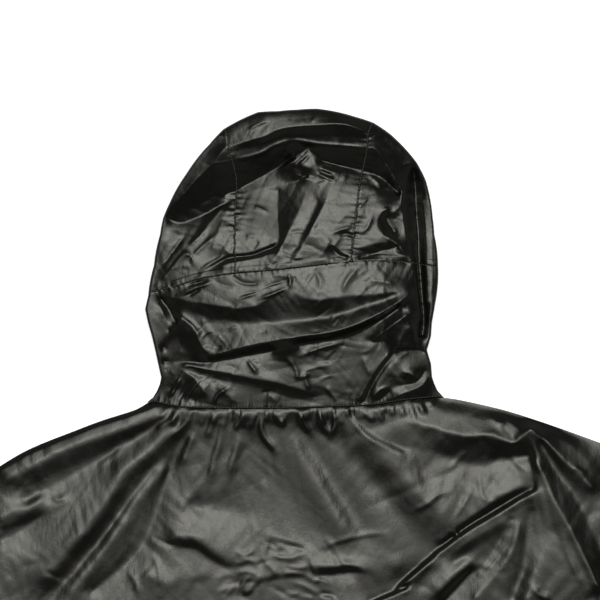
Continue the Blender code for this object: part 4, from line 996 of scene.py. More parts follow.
HEM_Y = -715.0
HEM_HALF = 285.0
HEM_NECK_HALF = 130.0
SHOULDER_COLUMNS = 88
BACK_NECK_COLUMNS = (36, 58, 36)
BODY_ROWS = (62, 160)  # along the side seam, along the armhole
ARMHOLE_SEGMENTS = 80
BODY_LOFT = 3.6
HEM_LOFT = 2.9
HEM_WIDTH = 20.0
BACK_OVER_ZIP = 2.6
OVER_ZIP_HALF = 30.0
OVER_ZIP_FADE = 12.0
SEAM_LIFT = 0.4
ARMHOLE_LIFT = 3.2
UPPER_BACK_FROM = -224.0
UPPER_BACK_FADE = 46.0
SIDES = {
    "left": {
        "shoulder": [(-143, -5), (-171, -14), (-195, -23), (-238, -40.5), (-274, -62)],
        "armhole": [(-274, -62), (-264, -130), (-266, -220), (-300, -310)],
        "outer_edge": [(-274, -62), (-400, -178), (-520, -345), (-645, -555)],
        "inner_edge": [(-300, -310), (-400, -440), (-553, -624)],
    },
    "right": {
        "shoulder": [(145, 3.5), (182, -5), (211, -14), (237, -23), (278, -38)],
        "armhole": [(278, -38), (270, -110), (271, -210), (302, -302)],
        "outer_edge": [(278, -38), (420, -125), (565, -290), (695, -490)],
        "inner_edge": [(302, -302), (430, -410), (611, -568)],
    },
}
# Creases of the upper back, held like the hood's: softness in mm, then x, y and height
BACK_CREASES = [
    # name, softness, points
    ("left shoulder roll", 1.5, [
        (-124, -1.5, 7.2), (-145, -8.5, 6.6), (-171, -17, 6), (-196, -26, 5.6), (-236, -43.5, 5.4),
        (-262, -58, 5),
    ]),
    ("left shoulder crest", 2.5, [
        (-120, -10, 7.8), (-140, -18, 7.6), (-160, -24, 7.6), (-190, -34, 7.4), (-206, -40, 7.4),
        (-230, -53, 7.2), (-256, -66, 6.6),
    ]),
    ("left shoulder trough", 3.0, [
        (-120, -17, 5.6), (-135, -25, 4.8), (-150, -34, 4.2), (-170, -46, 3.8), (-195, -60, 3.6),
        (-215, -71, 3.6), (-240, -86, 3.6),
    ]),
    ("left outer crest", 3.0, [(-226, -84, 6.8), (-240, -92, 6.8), (-262, -100, 6.6)]),
    ("left outer trough", 2.2, [(-224, -98, 4.6), (-238, -108, 3.6), (-262, -120, 3.4)]),
    ("left blade crest", 3.6, [
        (-112, -24, 8.8), (-118, -28, 8.6), (-130, -42, 8.8), (-150, -56, 9.2), (-162, -76, 9.4),
        (-174, -96, 9.4), (-191, -116, 9.2), (-206, -134, 8.8), (-222, -154, 8.2),
    ]),
    ("left blade trough", 3.0, [
        (-108, -34, 6), (-128, -58, 5), (-145, -80, 4.6), (-157, -98, 4.6), (-172, -118, 4.6),
        (-190, -139, 4.6), (-207, -158, 4.6), (-226, -178, 4.6),
    ]),
    ("left middle crest", 3.4, [
        (-118, -56, 6.3), (-138, -78, 6.7), (-150, -94, 7), (-164, -116, 7.4), (-180, -140, 7.4),
        (-200, -166, 7.2),
    ]),
    ("left back edge", 0.8, [
        (-101, -26, 6.6), (-108, -46, 4.6), (-113, -60, 3.7), (-119, -78, 3.2), (-126, -98, 3.1),
        (-134, -118, 3.2), (-146, -135, 3.4), (-161, -149, 3.7), (-180, -165, 3.8),
    ]),
    ("left back field", 4.0, [(-84, -44, 7), (-94, -72, 6.2), (-100, -98, 6.4)]),
    ("pale field crest", 3.0, [(-108, -116, 8.6), (-90, -118, 8.8), (-74, -130, 8), (-60, -138, 7)]),
    ("pale field top", 4.0, [(-96, -88, 4.4), (-66, -92, 4.4), (-40, -98, 4.5)]),
    ("pale field foot", 1.2, [(-108, -126, 6.3), (-90, -127, 6.2), (-76, -137, 5.9), (-60, -145, 5.6)]),
    ("left low field", 2.4, [(-132, -150, 7.4), (-116, -158, 7.4), (-96, -152, 6.9), (-80, -150, 6.6)]),
    ("left low fold", 1.2, [
        (-92, -158, 6.4), (-78, -155, 6.2), (-66, -153, 6.4), (-54, -160, 5.8), (-46, -170, 5.4),
    ]),
    ("middle low crest", 1.0, [
        (-46, -166, 6.6), (-36, -155, 7.2), (-22, -150.5, 6.8), (0, -148, 6.4), (14, -149, 6.2),
    ]),
    ("middle low foot", 0.8, [
        (-44, -172, 6.1), (-34, -160, 6.3), (-20, -155, 6.1), (2, -153, 5.9), (18, -154, 5.9),
    ]),
    ("left neck field", 4.0, [(-88, -16, 8), (-60, -20, 8), (-42, -26, 7.6)]),
    ("left centre trough", 5, [
        (-36, -30, 6.8), (-28, -52, 5.6), (-14, -76, 4.8), (0, -96, 4.4), (14, -116, 4.2),
    ]),
    ("centre crest", 5, [(-18, -14, 8.6), (0, -38, 8.3), (16, -64, 8), (30, -88, 7.7), (44, -112, 7.6)]),
    ("centre trough", 5, [(0, -22, 7.2), (14, -44, 5.8), (30, -70, 5), (44, -92, 4.8), (58, -116, 4.8)]),
    ("centre shoulder", 5, [(22, -22, 7.4), (36, -42, 6.8), (52, -64, 6.4), (70, -88, 6.2), (84, -110, 6)]),
    ("right neck crest", 5, [
        (44, -14, 9.4), (58, -30, 9.8), (76, -48, 9.6), (96, -67, 9.2), (113, -84, 8.6), (132, -105, 7.6),
        (142, -116, 6.8),
    ]),
    ("right neck trough", 5, [
        (34, -30, 6.8), (52, -52, 5.8), (68, -72, 5), (84, -92, 4.6), (98, -110, 4.4), (108, -126, 4.4),
    ]),
    ("right neck edge", 0.6, [(44, -7, 9.6), (52, -19, 10.2), (64, -30, 10.4), (78, -37, 9.8), (92, -44, 9)]),
    ("right neck groove", 0.6, [(48, -7, 9), (55, -17, 9.2), (67, -27, 9.2), (82, -34, 8.4), (96, -40, 7.2)]),
    ("wave crest", 0.8, [
        (78, -9, 8.4), (100, -15, 9.2), (130, -23, 10), (150, -28, 10.4), (164, -27, 10.4),
        (172, -27, 10.4), (184, -32, 10.6), (191, -33.5, 11), (198, -28, 11.6), (205, -21, 12.4),
    ]),
    ("wave foot", 2.0, [
        (102, -38, 7), (130, -46, 5.8), (150, -52, 5.3), (162, -54, 5.1), (180, -48, 5.1), (206, -45, 6),
    ]),
    ("wave back", 2.4, [(104, -2, 7), (130, -8, 7.2), (160, -14, 7.4), (184, -20, 7.8)]),
    ("wave dent", 0.7, [(178, -16, 8), (186, -22, 8.4), (191, -31, 10)]),
    ("right field", 4.0, [(110, -60, 6.4), (150, -68, 6), (186, -62, 6)]),
    ("right field crest", 1.4, [
        (207, -69, 7.4), (191, -75.5, 7.4), (175, -84, 7.4), (159, -95.5, 7.2), (142, -108, 6.6),
        (128, -120, 6),
    ]),
    ("right fold slit", 0.5, [
        (208, -74, 7.2), (196, -80.5, 5.6), (184, -88, 5), (165, -99, 4.6), (152, -107, 4.2),
        (126, -126, 4), (108, -141, 4),
    ]),
    ("right fold edge", 0.45, [
        (213, -76, 9.6), (198, -83, 9), (184, -91.5, 8.8), (168, -101.5, 8.4), (152, -110.5, 8.2),
        (140, -119, 8), (122, -133, 7.4),
    ]),
    ("right fold second edge", 0.7, [
        (206, -88, 8.2), (190, -97, 8.2), (176, -105, 8.2), (160, -114.5, 8), (144, -124, 7.6),
        (128, -135, 7),
    ]),
    ("below the right fold", 2.0, [(188, -110, 7), (170, -121, 6.4), (152, -131, 6.1), (138, -139, 6.1)]),
    ("right fold tail", 0.45, [(122, -135, 7.4), (112, -143, 8), (99, -153, 7.8), (88, -163, 7.2)]),
    ("right fold tail slit", 0.5, [(108, -142, 3.8), (97, -152, 3.6), (87, -162, 3.8)]),
    ("right fold end", 0.5, [(99, -162, 7.4), (88, -167, 7.2), (76, -172, 7), (66, -177, 6.8)]),
    ("right fold end slit", 0.5, [(96, -160, 4.4), (86, -164, 4.2), (74, -169, 4.2), (64, -173, 4.4)]),
    ("pale right field", 3.0, [(150, -140, 8.4), (138, -152, 8.8), (124, -166, 8.6)]),
    ("pale right field inner", 3.0, [(120, -146, 6.6), (108, -162, 6.2)]),
    ("low right slit", 0.8, [(156, -146, 5), (147, -155, 4.2), (139, -164, 3.8), (130, -174, 3.8)]),
    ("arm line", 0.5, [
        (206, -21, 12.4), (209, -38, 10.6), (213, -52, 10), (217, -64, 10.2), (224, -80, 10.6),
        (231, -93, 10.8), (240, -110, 10.6), (250, -130, 10.2), (262, -153, 9.6), (270, -166, 9.2),
    ]),
    ("arm line foot", 2.0, [
        (216, -34, 8.4), (224, -50, 7.6), (232, -62, 7.2), (244, -78, 6.6), (254, -96, 6), (263, -116, 5.8),
        (270, -134, 5.6),
    ]),
    ("arm ridge", 0.6, [
        (206, -21, 12.4), (218, -32, 11), (231, -45, 10.2), (245, -59, 9.4), (260, -73, 8.2),
    ]),
    ("arm ridge back", 2.0, [(222, -25, 7.6), (240, -37, 7.2), (258, -53, 6.6)]),
    ("arm bright field", 2.4, [(228, -112, 8.4), (219, -130, 8.8), (210, -150, 9), (203, -172, 9)]),
    ("arm field edge", 2.0, [(238, -120, 9.2), (248, -142, 8.8), (258, -164, 8.2)]),
    ("arm dark strip", 1.6, [
        (207, -94, 7.2), (204, -110, 6.8), (202, -130, 6.4), (198, -150, 6), (190, -172, 5.6),
    ]),
    ("curved ridge", 0.6, [
        (188, -101, 7.6), (194, -104, 8.2), (194, -112, 8.4), (190, -126, 8.2), (182, -142, 7.8),
        (171, -156, 7.2), (157, -170, 7),
    ]),
    ("curved ridge foot", 1.8, [(180, -118, 6), (174, -133, 5.4), (164, -147, 5)]),
    ("centre low slit", 0.7, [(20, -151, 5), (35, -149.5, 4.6), (50, -147.5, 4.8), (58, -149.5, 5.6)]),
    ("centre low crest", 1.4, [(8, -143, 6.8), (30, -142.5, 7), (48, -142, 7), (60, -146, 6.6)]),
    ("centre field", 4.0, [(20, -132, 5.4), (60, -134, 5.6), (88, -140, 6)]),
]
BODY_FOLDS = [
    # name, rise, upper, lower, power, line
    ("middle back fold", 5, 16, 16, 2.0, [(-60, -190), (-20, -225), (10, -300)]),
    ("left side fold", 8, 18, 14, 1.5, [(-262, -262), (-200, -300), (-120, -318)]),
    ("left side drag", 7, 16, 12, 1.5, [(-278, -330), (-215, -400), (-170, -500)]),
    ("right side fold", 8, 14, 16, 1.5, [(120, -300), (190, -290), (268, -262)]),
    ("right side drag", 7, 14, 12, 1.5, [(150, -470), (214, -392), (276, -322)]),
    ("waist fold", 6, 14, 16, 1.5, [(-180, -440), (-60, -462), (70, -446), (170, -420)]),
    ("left hem fold", 6, 16, 14, 1.6, [(-190, -690), (-176, -620), (-150, -545)]),
    ("middle hem fold", 5, 14, 14, 1.6, [(24, -690), (18, -620), (40, -540)]),
    ("right hem fold", 6, 14, 16, 1.6, [(196, -690), (180, -625), (160, -560)]),
    ("left long fold", 5, 9, 6, 1.3, [(-200, -172), (-222, -208), (-238, -250)]),
    ("left long fold", 4, 9, 6, 1.3, [(-148, -176), (-166, -226), (-196, -268)]),
    ("left long fold", 4, 8, 6, 1.3, [(-110, -190), (-118, -250), (-150, -310)]),
    ("right long fold", 5, 9, 6, 1.3, [(158, -172), (128, -206), (84, -232)]),
    ("right long fold", 4, 9, 7, 1.3, [(202, -172), (190, -220), (160, -262)]),
    ("right long fold", 4, 8, 6, 1.3, [(262, -176), (238, -216), (226, -256)]),
    ("centre fold", 4, 10, 6, 1.3, [(-80, -240), (-30, -262), (40, -258), (96, -240)]),
    ("centre fold", 3.5, 9, 6, 1.3, [(-100, -350), (-30, -370), (60, -366), (120, -344)]),
    ("low fold", 4, 10, 7, 1.3, [(-240, -470), (-170, -520), (-80, -540)]),
    ("low fold", 4, 10, 7, 1.3, [(60, -530), (150, -520), (236, -470)]),
    ("low fold", 3.5, 9, 7, 1.3, [(-250, -600), (-200, -580), (-120, -600)]),
    ("low fold", 3.5, 9, 7, 1.3, [(100, -610), (180, -590), (258, -612)]),
]
BACK_LINES = [
    # name, rise, upper, lower, power, line
    ("gather", 1.5, 1.8, 1.3, 1.3, [(-49, -5), (-50, -12), (-56, -24)]),
    ("gather", 1.8, 2.4, 1.5, 1.3, [(-29, -6), (-32, -18), (-28, -30), (-18, -42)]),
    ("gather", 1.5, 1.6, 1.2, 1.3, [(-20, -5), (-17, -13), (-12, -19)]),
    ("gather", 1.8, 2.2, 1.5, 1.3, [(0, -5), (5, -15), (12, -26)]),
    ("gather", 1.7, 2.0, 1.4, 1.3, [(18, -6), (23, -18), (29, -28)]),
    ("gather", 1.7, 2.0, 1.4, 1.3, [(32, -7), (33, -18), (29, -28)]),
    ("gather", 1.2, 1.6, 1.2, 1.3, [(60, -4), (62, -10), (68, -14)]),
    ("gather", 1.5, 3.0, 2.2, 1.3, [(-74, -6), (-76, -18), (-80, -31)]),
    ("gather", 1.8, 3.0, 2.0, 1.3, [(-92, -6), (-99, -17), (-112, -30)]),
    ("gather", 1.7, 2.6, 2.0, 1.3, [(-104, -7), (-113, -15), (-126, -23)]),
    ("gather", 1.4, 3.4, 2.4, 1.4, [(-66, -10), (-68, -30), (-74, -52), (-78, -74)]),
    ("gather", 1.2, 3.4, 2.4, 1.4, [(-50, -26), (-56, -46), (-62, -66)]),
    ("gather", 1.2, 3.0, 2.4, 1.4, [(-90, -22), (-97, -40), (-104, -56)]),
    ("shoulder line", 0.5, 2.4, 1.6, 1.2, [(-150, -33), (-160, -44), (-176, -54)]),
    ("small crease", -0.8, 1.2, 1.0, 1.2, [(-129, -116), (-119, -121), (-110, -124), (-106, -120)]),
    ("small crease", -0.8, 1.4, 1.0, 1.2, [(-222, -146), (-216, -150), (-208, -154)]),
    ("small crease", 0.6, 1.6, 1.2, 1.2, [(-218, -80), (-210, -84), (-202, -80)]),
    ("back line", 0.6, 1.6, 1.2, 1.2, [(-28, -114), (-15, -119), (5, -126), (20, -134)]),
    ("back line", 0.6, 1.6, 1.2, 1.2, [(-26, -106), (-25, -114), (-27, -124), (-30, -138)]),
    ("back line", 0.6, 1.8, 1.2, 1.2, [(-22, -133), (-8, -135), (10, -133)]),
    ("back line", -0.6, 1.6, 1.4, 1.2, [(-24, -118), (-12, -122), (6, -128), (16, -134)]),
    ("back line", 0.6, 2.4, 1.2, 1.2, [(18, -128), (36, -121), (56, -116), (80, -113)]),
    ("back line", 0.7, 1.8, 1.6, 1.3, [(160, -58), (161, -72), (164, -82), (174, -88)]),
    ("back line", 0.6, 2.0, 1.4, 1.3, [(156, -70), (148, -86), (138, -102)]),
    ("back line", 0.6, 1.6, 1.2, 1.3, [(150, -40), (140, -50), (132, -60)]),
    ("back line", 0.5, 1.6, 1.2, 1.3, [(184, -40), (194, -52), (200, -60)]),
    ("back line", 0.8, 2.0, 1.4, 1.3, [(102, -94), (114, -88), (124, -80), (134, -77)]),
    ("back line", 0.6, 1.6, 1.2, 1.3, [(168, -10), (176, -16), (182, -24)]),
    ("back line", 0.6, 1.6, 1.2, 1.3, [(182, -12), (190, -18), (196, -24)]),
    ("back line", 0.9, 1.4, 1.2, 1.3, [(242, -54), (250, -59), (255, -64)]),
    ("back line", 1.0, 1.6, 1.4, 1.3, [(206, -48), (212, -54), (215, -62)]),
    ("back line", 0.8, 2.6, 2.0, 1.3, [(206, -160), (214, -168), (226, -172)]),
    ("back line", 0.7, 3.0, 2.2, 1.3, [(232, -112), (240, -136), (252, -160)]),
    ("back line", 0.8, 2.4, 1.8, 1.3, [(188, -106), (180, -124), (168, -142), (154, -158)]),
    ("back line", 0.7, 1.8, 1.4, 1.2, [(-6, -156), (10, -162), (26, -172)]),
    ("back line", 0.7, 1.8, 1.4, 1.2, [(4, -150), (18, -156), (24, -164)]),
    ("back line", -0.7, 1.6, 1.4, 1.2, [(-24, -160), (-8, -168), (8, -172)]),
    ("back line", 0.6, 2.0, 1.4, 1.2, [(-130, -128), (-122, -144), (-120, -164)]),
    ("back line", 0.6, 2.0, 1.4, 1.2, [(-150, -146), (-142, -158), (-138, -172)]),
]


def armhole_points(side):
    """The armhole from the shoulder tip down to the underarm, as short straight runs."""
    return curve_through(SIDES[side]["armhole"], np.linspace(0.0, 1.0, ARMHOLE_SEGMENTS + 1))


def body_side(side, rows):
    """Side seam and armhole from the hem up, and the share of the height at each row."""
    armhole = armhole_points(side)[::-1]
    hem = np.array([HEM_HALF if side == "right" else -HEM_HALF, HEM_Y])
    seam = hem + (armhole[0] - hem) * np.linspace(0.0, 1.0, rows[0] + 1)[:, None]
    place = np.arange(1, rows[1] + 1) * ARMHOLE_SEGMENTS / rows[1]
    upper = np.column_stack([np.interp(place, np.arange(len(armhole)), armhole[:, k]) for k in (0, 1)])
    points = np.vstack([seam, upper])
    return points, (points[:, 1] - HEM_Y) / (points[-1, 1] - HEM_Y)


def shoulder_points(side, corner, columns):
    """The shoulder from the neck corner out to its tip."""
    return curve_through([tuple(corner)] + SIDES[side]["shoulder"], np.linspace(0.0, 1.0, columns + 1))


def armhole_height(share):
    """Height of the back and the sleeve where they are joined, from shoulder tip to underarm."""
    return UPPER_LEVEL + SEAM_LIFT + ARMHOLE_LIFT * smooth(np.minimum(share, 1 - share) / 0.25)


back_map = height_map((-300.0, -236.0), (304.0, 12.0), 1.25)
body_map = height_map((-700.0, -724.0), (740.0, 0.0), 2.5)


def back_borders():
    """Lines that hold the upper back's edges: neck, shoulders, armholes and the lower end."""
    neck = curve_through(NECK_LINE, np.linspace(0.0, 1.0, 60))
    rows = [("neck", 0.8, np.column_stack([neck, from_table(NECK_HEIGHT, neck[:, 0])]))]
    for side in ("left", "right"):
        corner = neck[0] if side == "left" else neck[-1]
        shoulder = shoulder_points(side, corner, 40)
        rows.append(("shoulder", 1.0, np.column_stack([shoulder, np.full(41, UPPER_LEVEL + SEAM_LIFT)])))
        hole = armhole_points(side)
        share = np.linspace(0.0, 1.0, len(hole))
        rows.append(("armhole", 1.5, np.column_stack([hole, armhole_height(share)])))
    across = np.linspace(-262.0, 262.0, 30)
    rows.append(("lower end", 4.0, np.column_stack([across, np.full(30, -234.0), np.full(30, 6.0)])))
    return rows


lay_cloth(back_map, BACK_CREASES, back_borders(), reach=12.0, kept=1.25)
add_folds(back_map, [row for row in BODY_FOLDS if row[5][0][1] > -200])
add_folds(back_map, BACK_LINES)
add_folds(back_map, scattered_creases(
    seed=21, count=60, low=(-258, -225), high=(258, -16), rise=(0.08, 0.25), reach=(1.5, 3.4), length=(9, 34),
    heading=lambda x, y: math.atan2(-1.0, x / 120.0),
))
add_folds(back_map, scattered_creases(
    seed=25, count=34, low=(-66, -176), high=(44, -126), rise=(0.35, 0.9), reach=(1.0, 1.9), length=(9, 26),
    heading=lambda x, y: 2.9 - x / 90,
))
draw = np.random.default_rng(24)
for x in np.arange(-112.0, 116.0, 6.5):
    x += draw.uniform(-2.5, 2.5)
    y = np.interp(x, neck_curve[:, 0], neck_curve[:, 1])
    run, lean = draw.uniform(7, 20), x / 260.0 + draw.normal(0, 0.2)
    line = [(x, y - 1), (x + run * lean / 2, y - run / 2), (x + run * lean, y - run)]
    add_folds(back_map, [("gather", draw.uniform(0.7, 1.7), 1.5, draw.uniform(1.0, 2.2), 1.3, line)])
add_crumple(back_map, seed=22, headings=(-1.0, 1.3, 0.4), short=5.5, long=55.0, rise=0.4)
add_crumple(back_map, seed=23, headings=(-0.7, 0.9, 1.8), short=2.8, long=24.0, rise=0.18)
add_seam(back_map, NECK_LINE, depth=1.2, pucker=0.55, reach=8.0, seed=7, allowance=0.0)
add_folds(body_map, BODY_FOLDS)
add_folds(body_map, scattered_creases(
    seed=31, count=170, low=(-270, -700), high=(270, -200), rise=(0.4, 1.3), reach=(3.5, 7.0),
    length=(18, 70), heading=lambda x, y: 0.4 * x / 200,
))


def back_points():
    """The back: hem, side seams, armholes, shoulders and neck, lying on the two fronts."""
    neck = neck_points(BACK_NECK_COLUMNS)
    left_shoulder = shoulder_points("left", neck[0], SHOULDER_COLUMNS)
    right_shoulder = shoulder_points("right", neck[-1], SHOULDER_COLUMNS)
    top = np.vstack([left_shoulder[:0:-1], neck, right_shoulder[1:]])
    stops = [-HEM_HALF, -HEM_NECK_HALF, HEM_NECK_HALF, HEM_HALF]
    hem_x = spaced(stops, [SHOULDER_COLUMNS, len(neck) - 1, SHOULDER_COLUMNS])
    bottom = np.column_stack([hem_x, np.full(hem_x.size, HEM_Y)])
    left, along = body_side("left", BODY_ROWS)
    right, _ = body_side("right", BODY_ROWS)
    flat = coons(bottom, top, left, right, along=along)
    x, y = flat[..., 0], flat[..., 1]
    across = np.linspace(0.0, 1.0, hem_x.size)[None, :]
    along = along[:, None]
    rise_x = smooth(np.minimum(across, 1 - across) / 0.12)
    seat = blend(HEM_LOFT, BODY_LOFT, smooth(along / 0.12))
    shares = (left[-1, 1] - left[:, 1]) / (left[-1, 1] - left[BODY_ROWS[0], 1])
    joined = np.where(shares < 1.0, armhole_height(np.clip(shares, 0, 1)), UPPER_LEVEL + SEAM_LIFT)[:, None]
    low = blend(joined, UPPER_LEVEL + seat + read_height(body_map, x, y), rise_x)
    low = blend(UPPER_LEVEL, low, smooth((y - HEM_Y) / 6.0) * 0.9 + 0.1)
    high = read_height(back_map, x, y)
    height = blend(low, high, smooth((y - UPPER_BACK_FROM) / UPPER_BACK_FADE))
    lowest = UPPER_LEVEL + BACK_OVER_ZIP * smooth((OVER_ZIP_HALF - np.abs(x)) / OVER_ZIP_FADE)
    return np.dstack([flat, kept_above(height, lowest)])


back_grid = back_points()
back = cloth_piece("back_panel", turned_in(back_grid, HEM_WIDTH, HEM_DROP), wall=False)
dress(back, "garment", nylon, "coated_cloth", "back")

# ---------------------------------------------------------------- fronts
# Two fronts of the same nylon, which lie flat on the floor under the back. They are joined to the back
# at the shoulders and sides, and their centre edges are set to the zip.

FRONT_SHOULDER_COLUMNS = 26
FRONT_NECK_COLUMNS = 34
FRONT_ROWS = (44, 40)


def front_points(side):
    """One front: flat, lifted a little where its edge lies on the zip, with faint ripples."""
    sign = -1 if side == "left" else 1
    neck = neck_points(TOP_COLUMNS)
    corner = neck[0] if side == "left" else neck[-1]
    shares = np.linspace(0.0, 1.0, FRONT_NECK_COLUMNS + 1)
    edge_x = sign * ZIP_HALF_GAP
    neck_y = corner[1] - FRONT_NECK_DROP * smooth(shares)
    neckline = np.column_stack([blend(corner[0], edge_x, shares), neck_y])
    top = np.vstack([shoulder_points(side, corner, FRONT_SHOULDER_COLUMNS)[:0:-1], neckline])
    outer, along = body_side(side, FRONT_ROWS)
    centre_y = blend(HEM_Y, neckline[-1, 1], along)
    centre = np.column_stack([np.full(along.size, edge_x), centre_y])
    hem_x = np.linspace(sign * HEM_HALF, edge_x, len(top))
    bottom = np.column_stack([hem_x, np.full(hem_x.size, HEM_Y)])
    flat = coons(bottom, top, outer, centre, along=along)
    x, y = flat[..., 0], flat[..., 1]
    ripple = 0.25 * (1 + np.sin(x / 17 + 2 * np.sin(y / 60)) * np.sin(y / 41 + np.sin(x / 50)))
    return np.dstack([flat, FLOOR_LEVEL - 0.3 + ripple + zip_rise(x)])


fronts = {}
for name in ("left", "right"):
    points = turned_in(front_points(name), HEM_WIDTH, -HEM_DROP)
    fronts[name] = cloth_piece("front_" + name + "_panel", points)
    dress(fronts[name], "garment", nylon, "coated_cloth", "front_" + name)

# ---------------------------------------------------------------- sleeves
# Two long sleeves of the same nylon, each one piece closed by a seam under the arm and set into its
# armhole. They lie flattened beside the body and end in a narrow elastic cuff.

SLEEVE_ROWS = 190
SLEEVE_EDGE = 1.2
SLEEVE_LOFT = 5.0
SLEEVE_ACROSS = 50
CUFF_ROWS = 7
CUFF_SQUEEZE = 0.55
SLEEVE_FOLDS = [
    # name, rise, upper, lower, power, line
    ("left cap fold", 5, 10, 12, 1.4, [(-330, -170), (-310, -220), (-304, -270)]),
    ("left upper drag", 6, 11, 9, 1.4, [(-392, -240), (-352, -300), (-336, -350)]),
    ("left elbow fold", 7, 9, 12, 1.4, [(-500, -370), (-440, -390), (-392, -420)]),
    ("left elbow ridge", 6, 8, 10, 1.4, [(-508, -420), (-462, -452), (-430, -470)]),
    ("left forearm fold", 5, 9, 10, 1.4, [(-570, -480), (-540, -520), (-500, -545)]),
    ("left cuff fold", 4, 8, 8, 1.4, [(-618, -545), (-590, -575), (-560, -598)]),
    ("left long fold", 4, 8, 6, 1.3, [(-300, -110), (-360, -190), (-420, -260)]),
    ("left inner fold", 4, 8, 6, 1.3, [(-330, -330), (-380, -360), (-430, -350)]),
    ("left lower fold", 4, 8, 6, 1.3, [(-470, -470), (-520, -470), (-560, -440)]),
    ("right cap fold", 5, 10, 12, 1.4, [(305, -250), (318, -200), (340, -150)]),
    ("right upper drag", 6, 11, 9, 1.4, [(360, -335), (392, -280), (430, -215)]),
    ("right elbow fold", 7, 9, 12, 1.4, [(440, -380), (490, -340), (540, -310)]),
    ("right elbow ridge", 6, 8, 10, 1.4, [(478, -425), (522, -392), (566, -350)]),
    ("right forearm fold", 5, 9, 10, 1.4, [(545, -488), (590, -455), (618, -420)]),
    ("right cuff fold", 4, 8, 8, 1.4, [(610, -545), (640, -520), (664, -485)]),
    ("right long fold", 4, 8, 6, 1.3, [(310, -80), (380, -140), (450, -210)]),
    ("right inner fold", 4, 8, 6, 1.3, [(340, -310), (390, -330), (450, -310)]),
    ("right lower fold", 4, 8, 6, 1.3, [(500, -440), (560, -420), (600, -370)]),
]
add_folds(body_map, SLEEVE_FOLDS)
for seed, low, high, way in ((41, (-640, -610), (-310, -120), 2.1), (42, (310, -560), (690, -90), 0.4)):
    add_folds(body_map, scattered_creases(
        seed=seed, count=110, low=low, high=high, rise=(0.5, 1.5), reach=(3.5, 6.5), length=(18, 60),
        heading=lambda x, y: way,
    ))


def sleeve_points(side):
    """A sleeve: a ring of cloth at each row, flat below and lofted above, open at both ends. Its upper
    half meets the back at the armhole, and narrow gathers run from the cuff."""
    shape = SIDES[side]
    rows = np.linspace(0.0, 1.0, SLEEVE_ROWS + 1)
    outer, inner = (curve_through(shape[edge], rows) for edge in ("outer_edge", "inner_edge"))
    armhole = curve_through(shape["armhole"], np.linspace(0.0, 1.0, SLEEVE_ACROSS + 1))
    cuff = outer[-1] + (inner[-1] - outer[-1]) * np.linspace(0.0, 1.0, SLEEVE_ACROSS + 1)[:, None]
    flat = coons(armhole, cuff, outer, inner)
    across = np.linspace(0.0, 1.0, SLEEVE_ACROSS + 1)[None, :]
    outward = flat[:, 0] - flat[:, -1]
    outward /= np.hypot(*outward.T)[:, None]
    flat[:, 0] -= SLEEVE_EDGE * outward
    flat[:, -1] += SLEEVE_EDGE * outward
    x, y = flat[..., 0], flat[..., 1]
    rise = smooth(np.minimum(across, 1 - across) / 0.3)
    seat = FLOOR_LEVEL + 2 * SLEEVE_EDGE
    end = smooth((1 - rows[:, None]) / 0.06)
    start = smooth(rows[:, None] / 0.05)
    folds = read_height(body_map, x, y) * blend(0.35, 1.0, rise) * blend(0.25, 1.0, end)
    gather = 0.7 * (1 + np.sin(across * 52 + 1.7 * np.sin(across * 9))) * smooth((rows[:, None] - 0.86) / 0.1)
    loft = seat + SLEEVE_LOFT * rise * blend(0.5, 1.0, end) + folds + gather * rise
    top = np.dstack([flat, np.maximum(blend(armhole_height(across), loft, start), seat)])
    below = np.dstack([flat, np.full(x.shape, FLOOR_LEVEL)])[:, ::-1]
    middle = FLOOR_LEVEL + SLEEVE_EDGE
    outer_edge = np.column_stack([flat[:, 0] + SLEEVE_EDGE * outward, np.full(rows.size, middle)])
    inner_edge = np.column_stack([flat[:, -1] - SLEEVE_EDGE * outward, np.full(rows.size, middle)])
    return np.concatenate([outer_edge[:, None], top, inner_edge[:, None], below], axis=1)


sleeves = {}
sleeve_grids = {name: sleeve_points(name) for name in ("left", "right")}
for name, grid in sleeve_grids.items():
    inside = grid[-CUFF_ROWS::2][::-1].copy()
    inside[..., 2] = blend(inside[..., 2].mean(axis=1, keepdims=True), inside[..., 2], CUFF_SQUEEZE)
    points = np.concatenate([grid, inside])
    points = points if name == "left" else points[:, ::-1]
    sleeves[name] = cloth_piece("sleeve_" + name + "_panel", points, closed=True)
    dress(sleeves[name], "garment", nylon, "coated_cloth", "sleeve_" + name)

# ---------------------------------------------------------------- sewing thread
# Matt spun polyester thread, one straight lockstitch row beside the hood's seams and the neck seam,
# and along the hem and the cuffs. Each stitch is a short rod that arches out of the cloth and dips
# into it at both ends.

THREAD_PITCH = 2.6
THREAD_LENGTH = 1.9
THREAD_RADIUS = 0.3
THREAD_RISE = 0.3
HEM_THREAD_ROW = 3
THREAD_SHADE = (0.07, 0.066, 0.055, 1.0)
THREAD_LIGHT = (0.15, 0.142, 0.12, 1.0)


def loop_faces(count, rings, ring):
    """Faces of closed solids, each a stack of rings of points, shut at both ends by rows of four-sided
    faces between facing points."""
    sides = grid_faces(rings, ring, closed=True)
    caps = np.array([(k, k + 1, ring - 2 - k, ring - 1 - k) for k in range(ring // 2 - 1)])
    one = np.vstack([sides, caps[:, ::-1], caps + (rings - 1) * ring])
    return (one[None] + rings * ring * np.arange(count)[:, None, None]).reshape(-1, 4)


def rods(centres, sideways, radii, ring):
    """Short rods: at each centre a ring of points, sideways times cosine and up times sine, as wide
    as the radius there."""
    turn = 2 * math.pi * (np.arange(ring) + 0.5) / ring
    up = np.array([0.0, 0.0, 1.0])
    around = np.cos(turn)[None, :, None] * sideways[:, None, :] + np.sin(turn)[None, :, None] * up
    return centres[:, :, None, :] + np.asarray(radii)[None, :, None, None] * around[:, None]


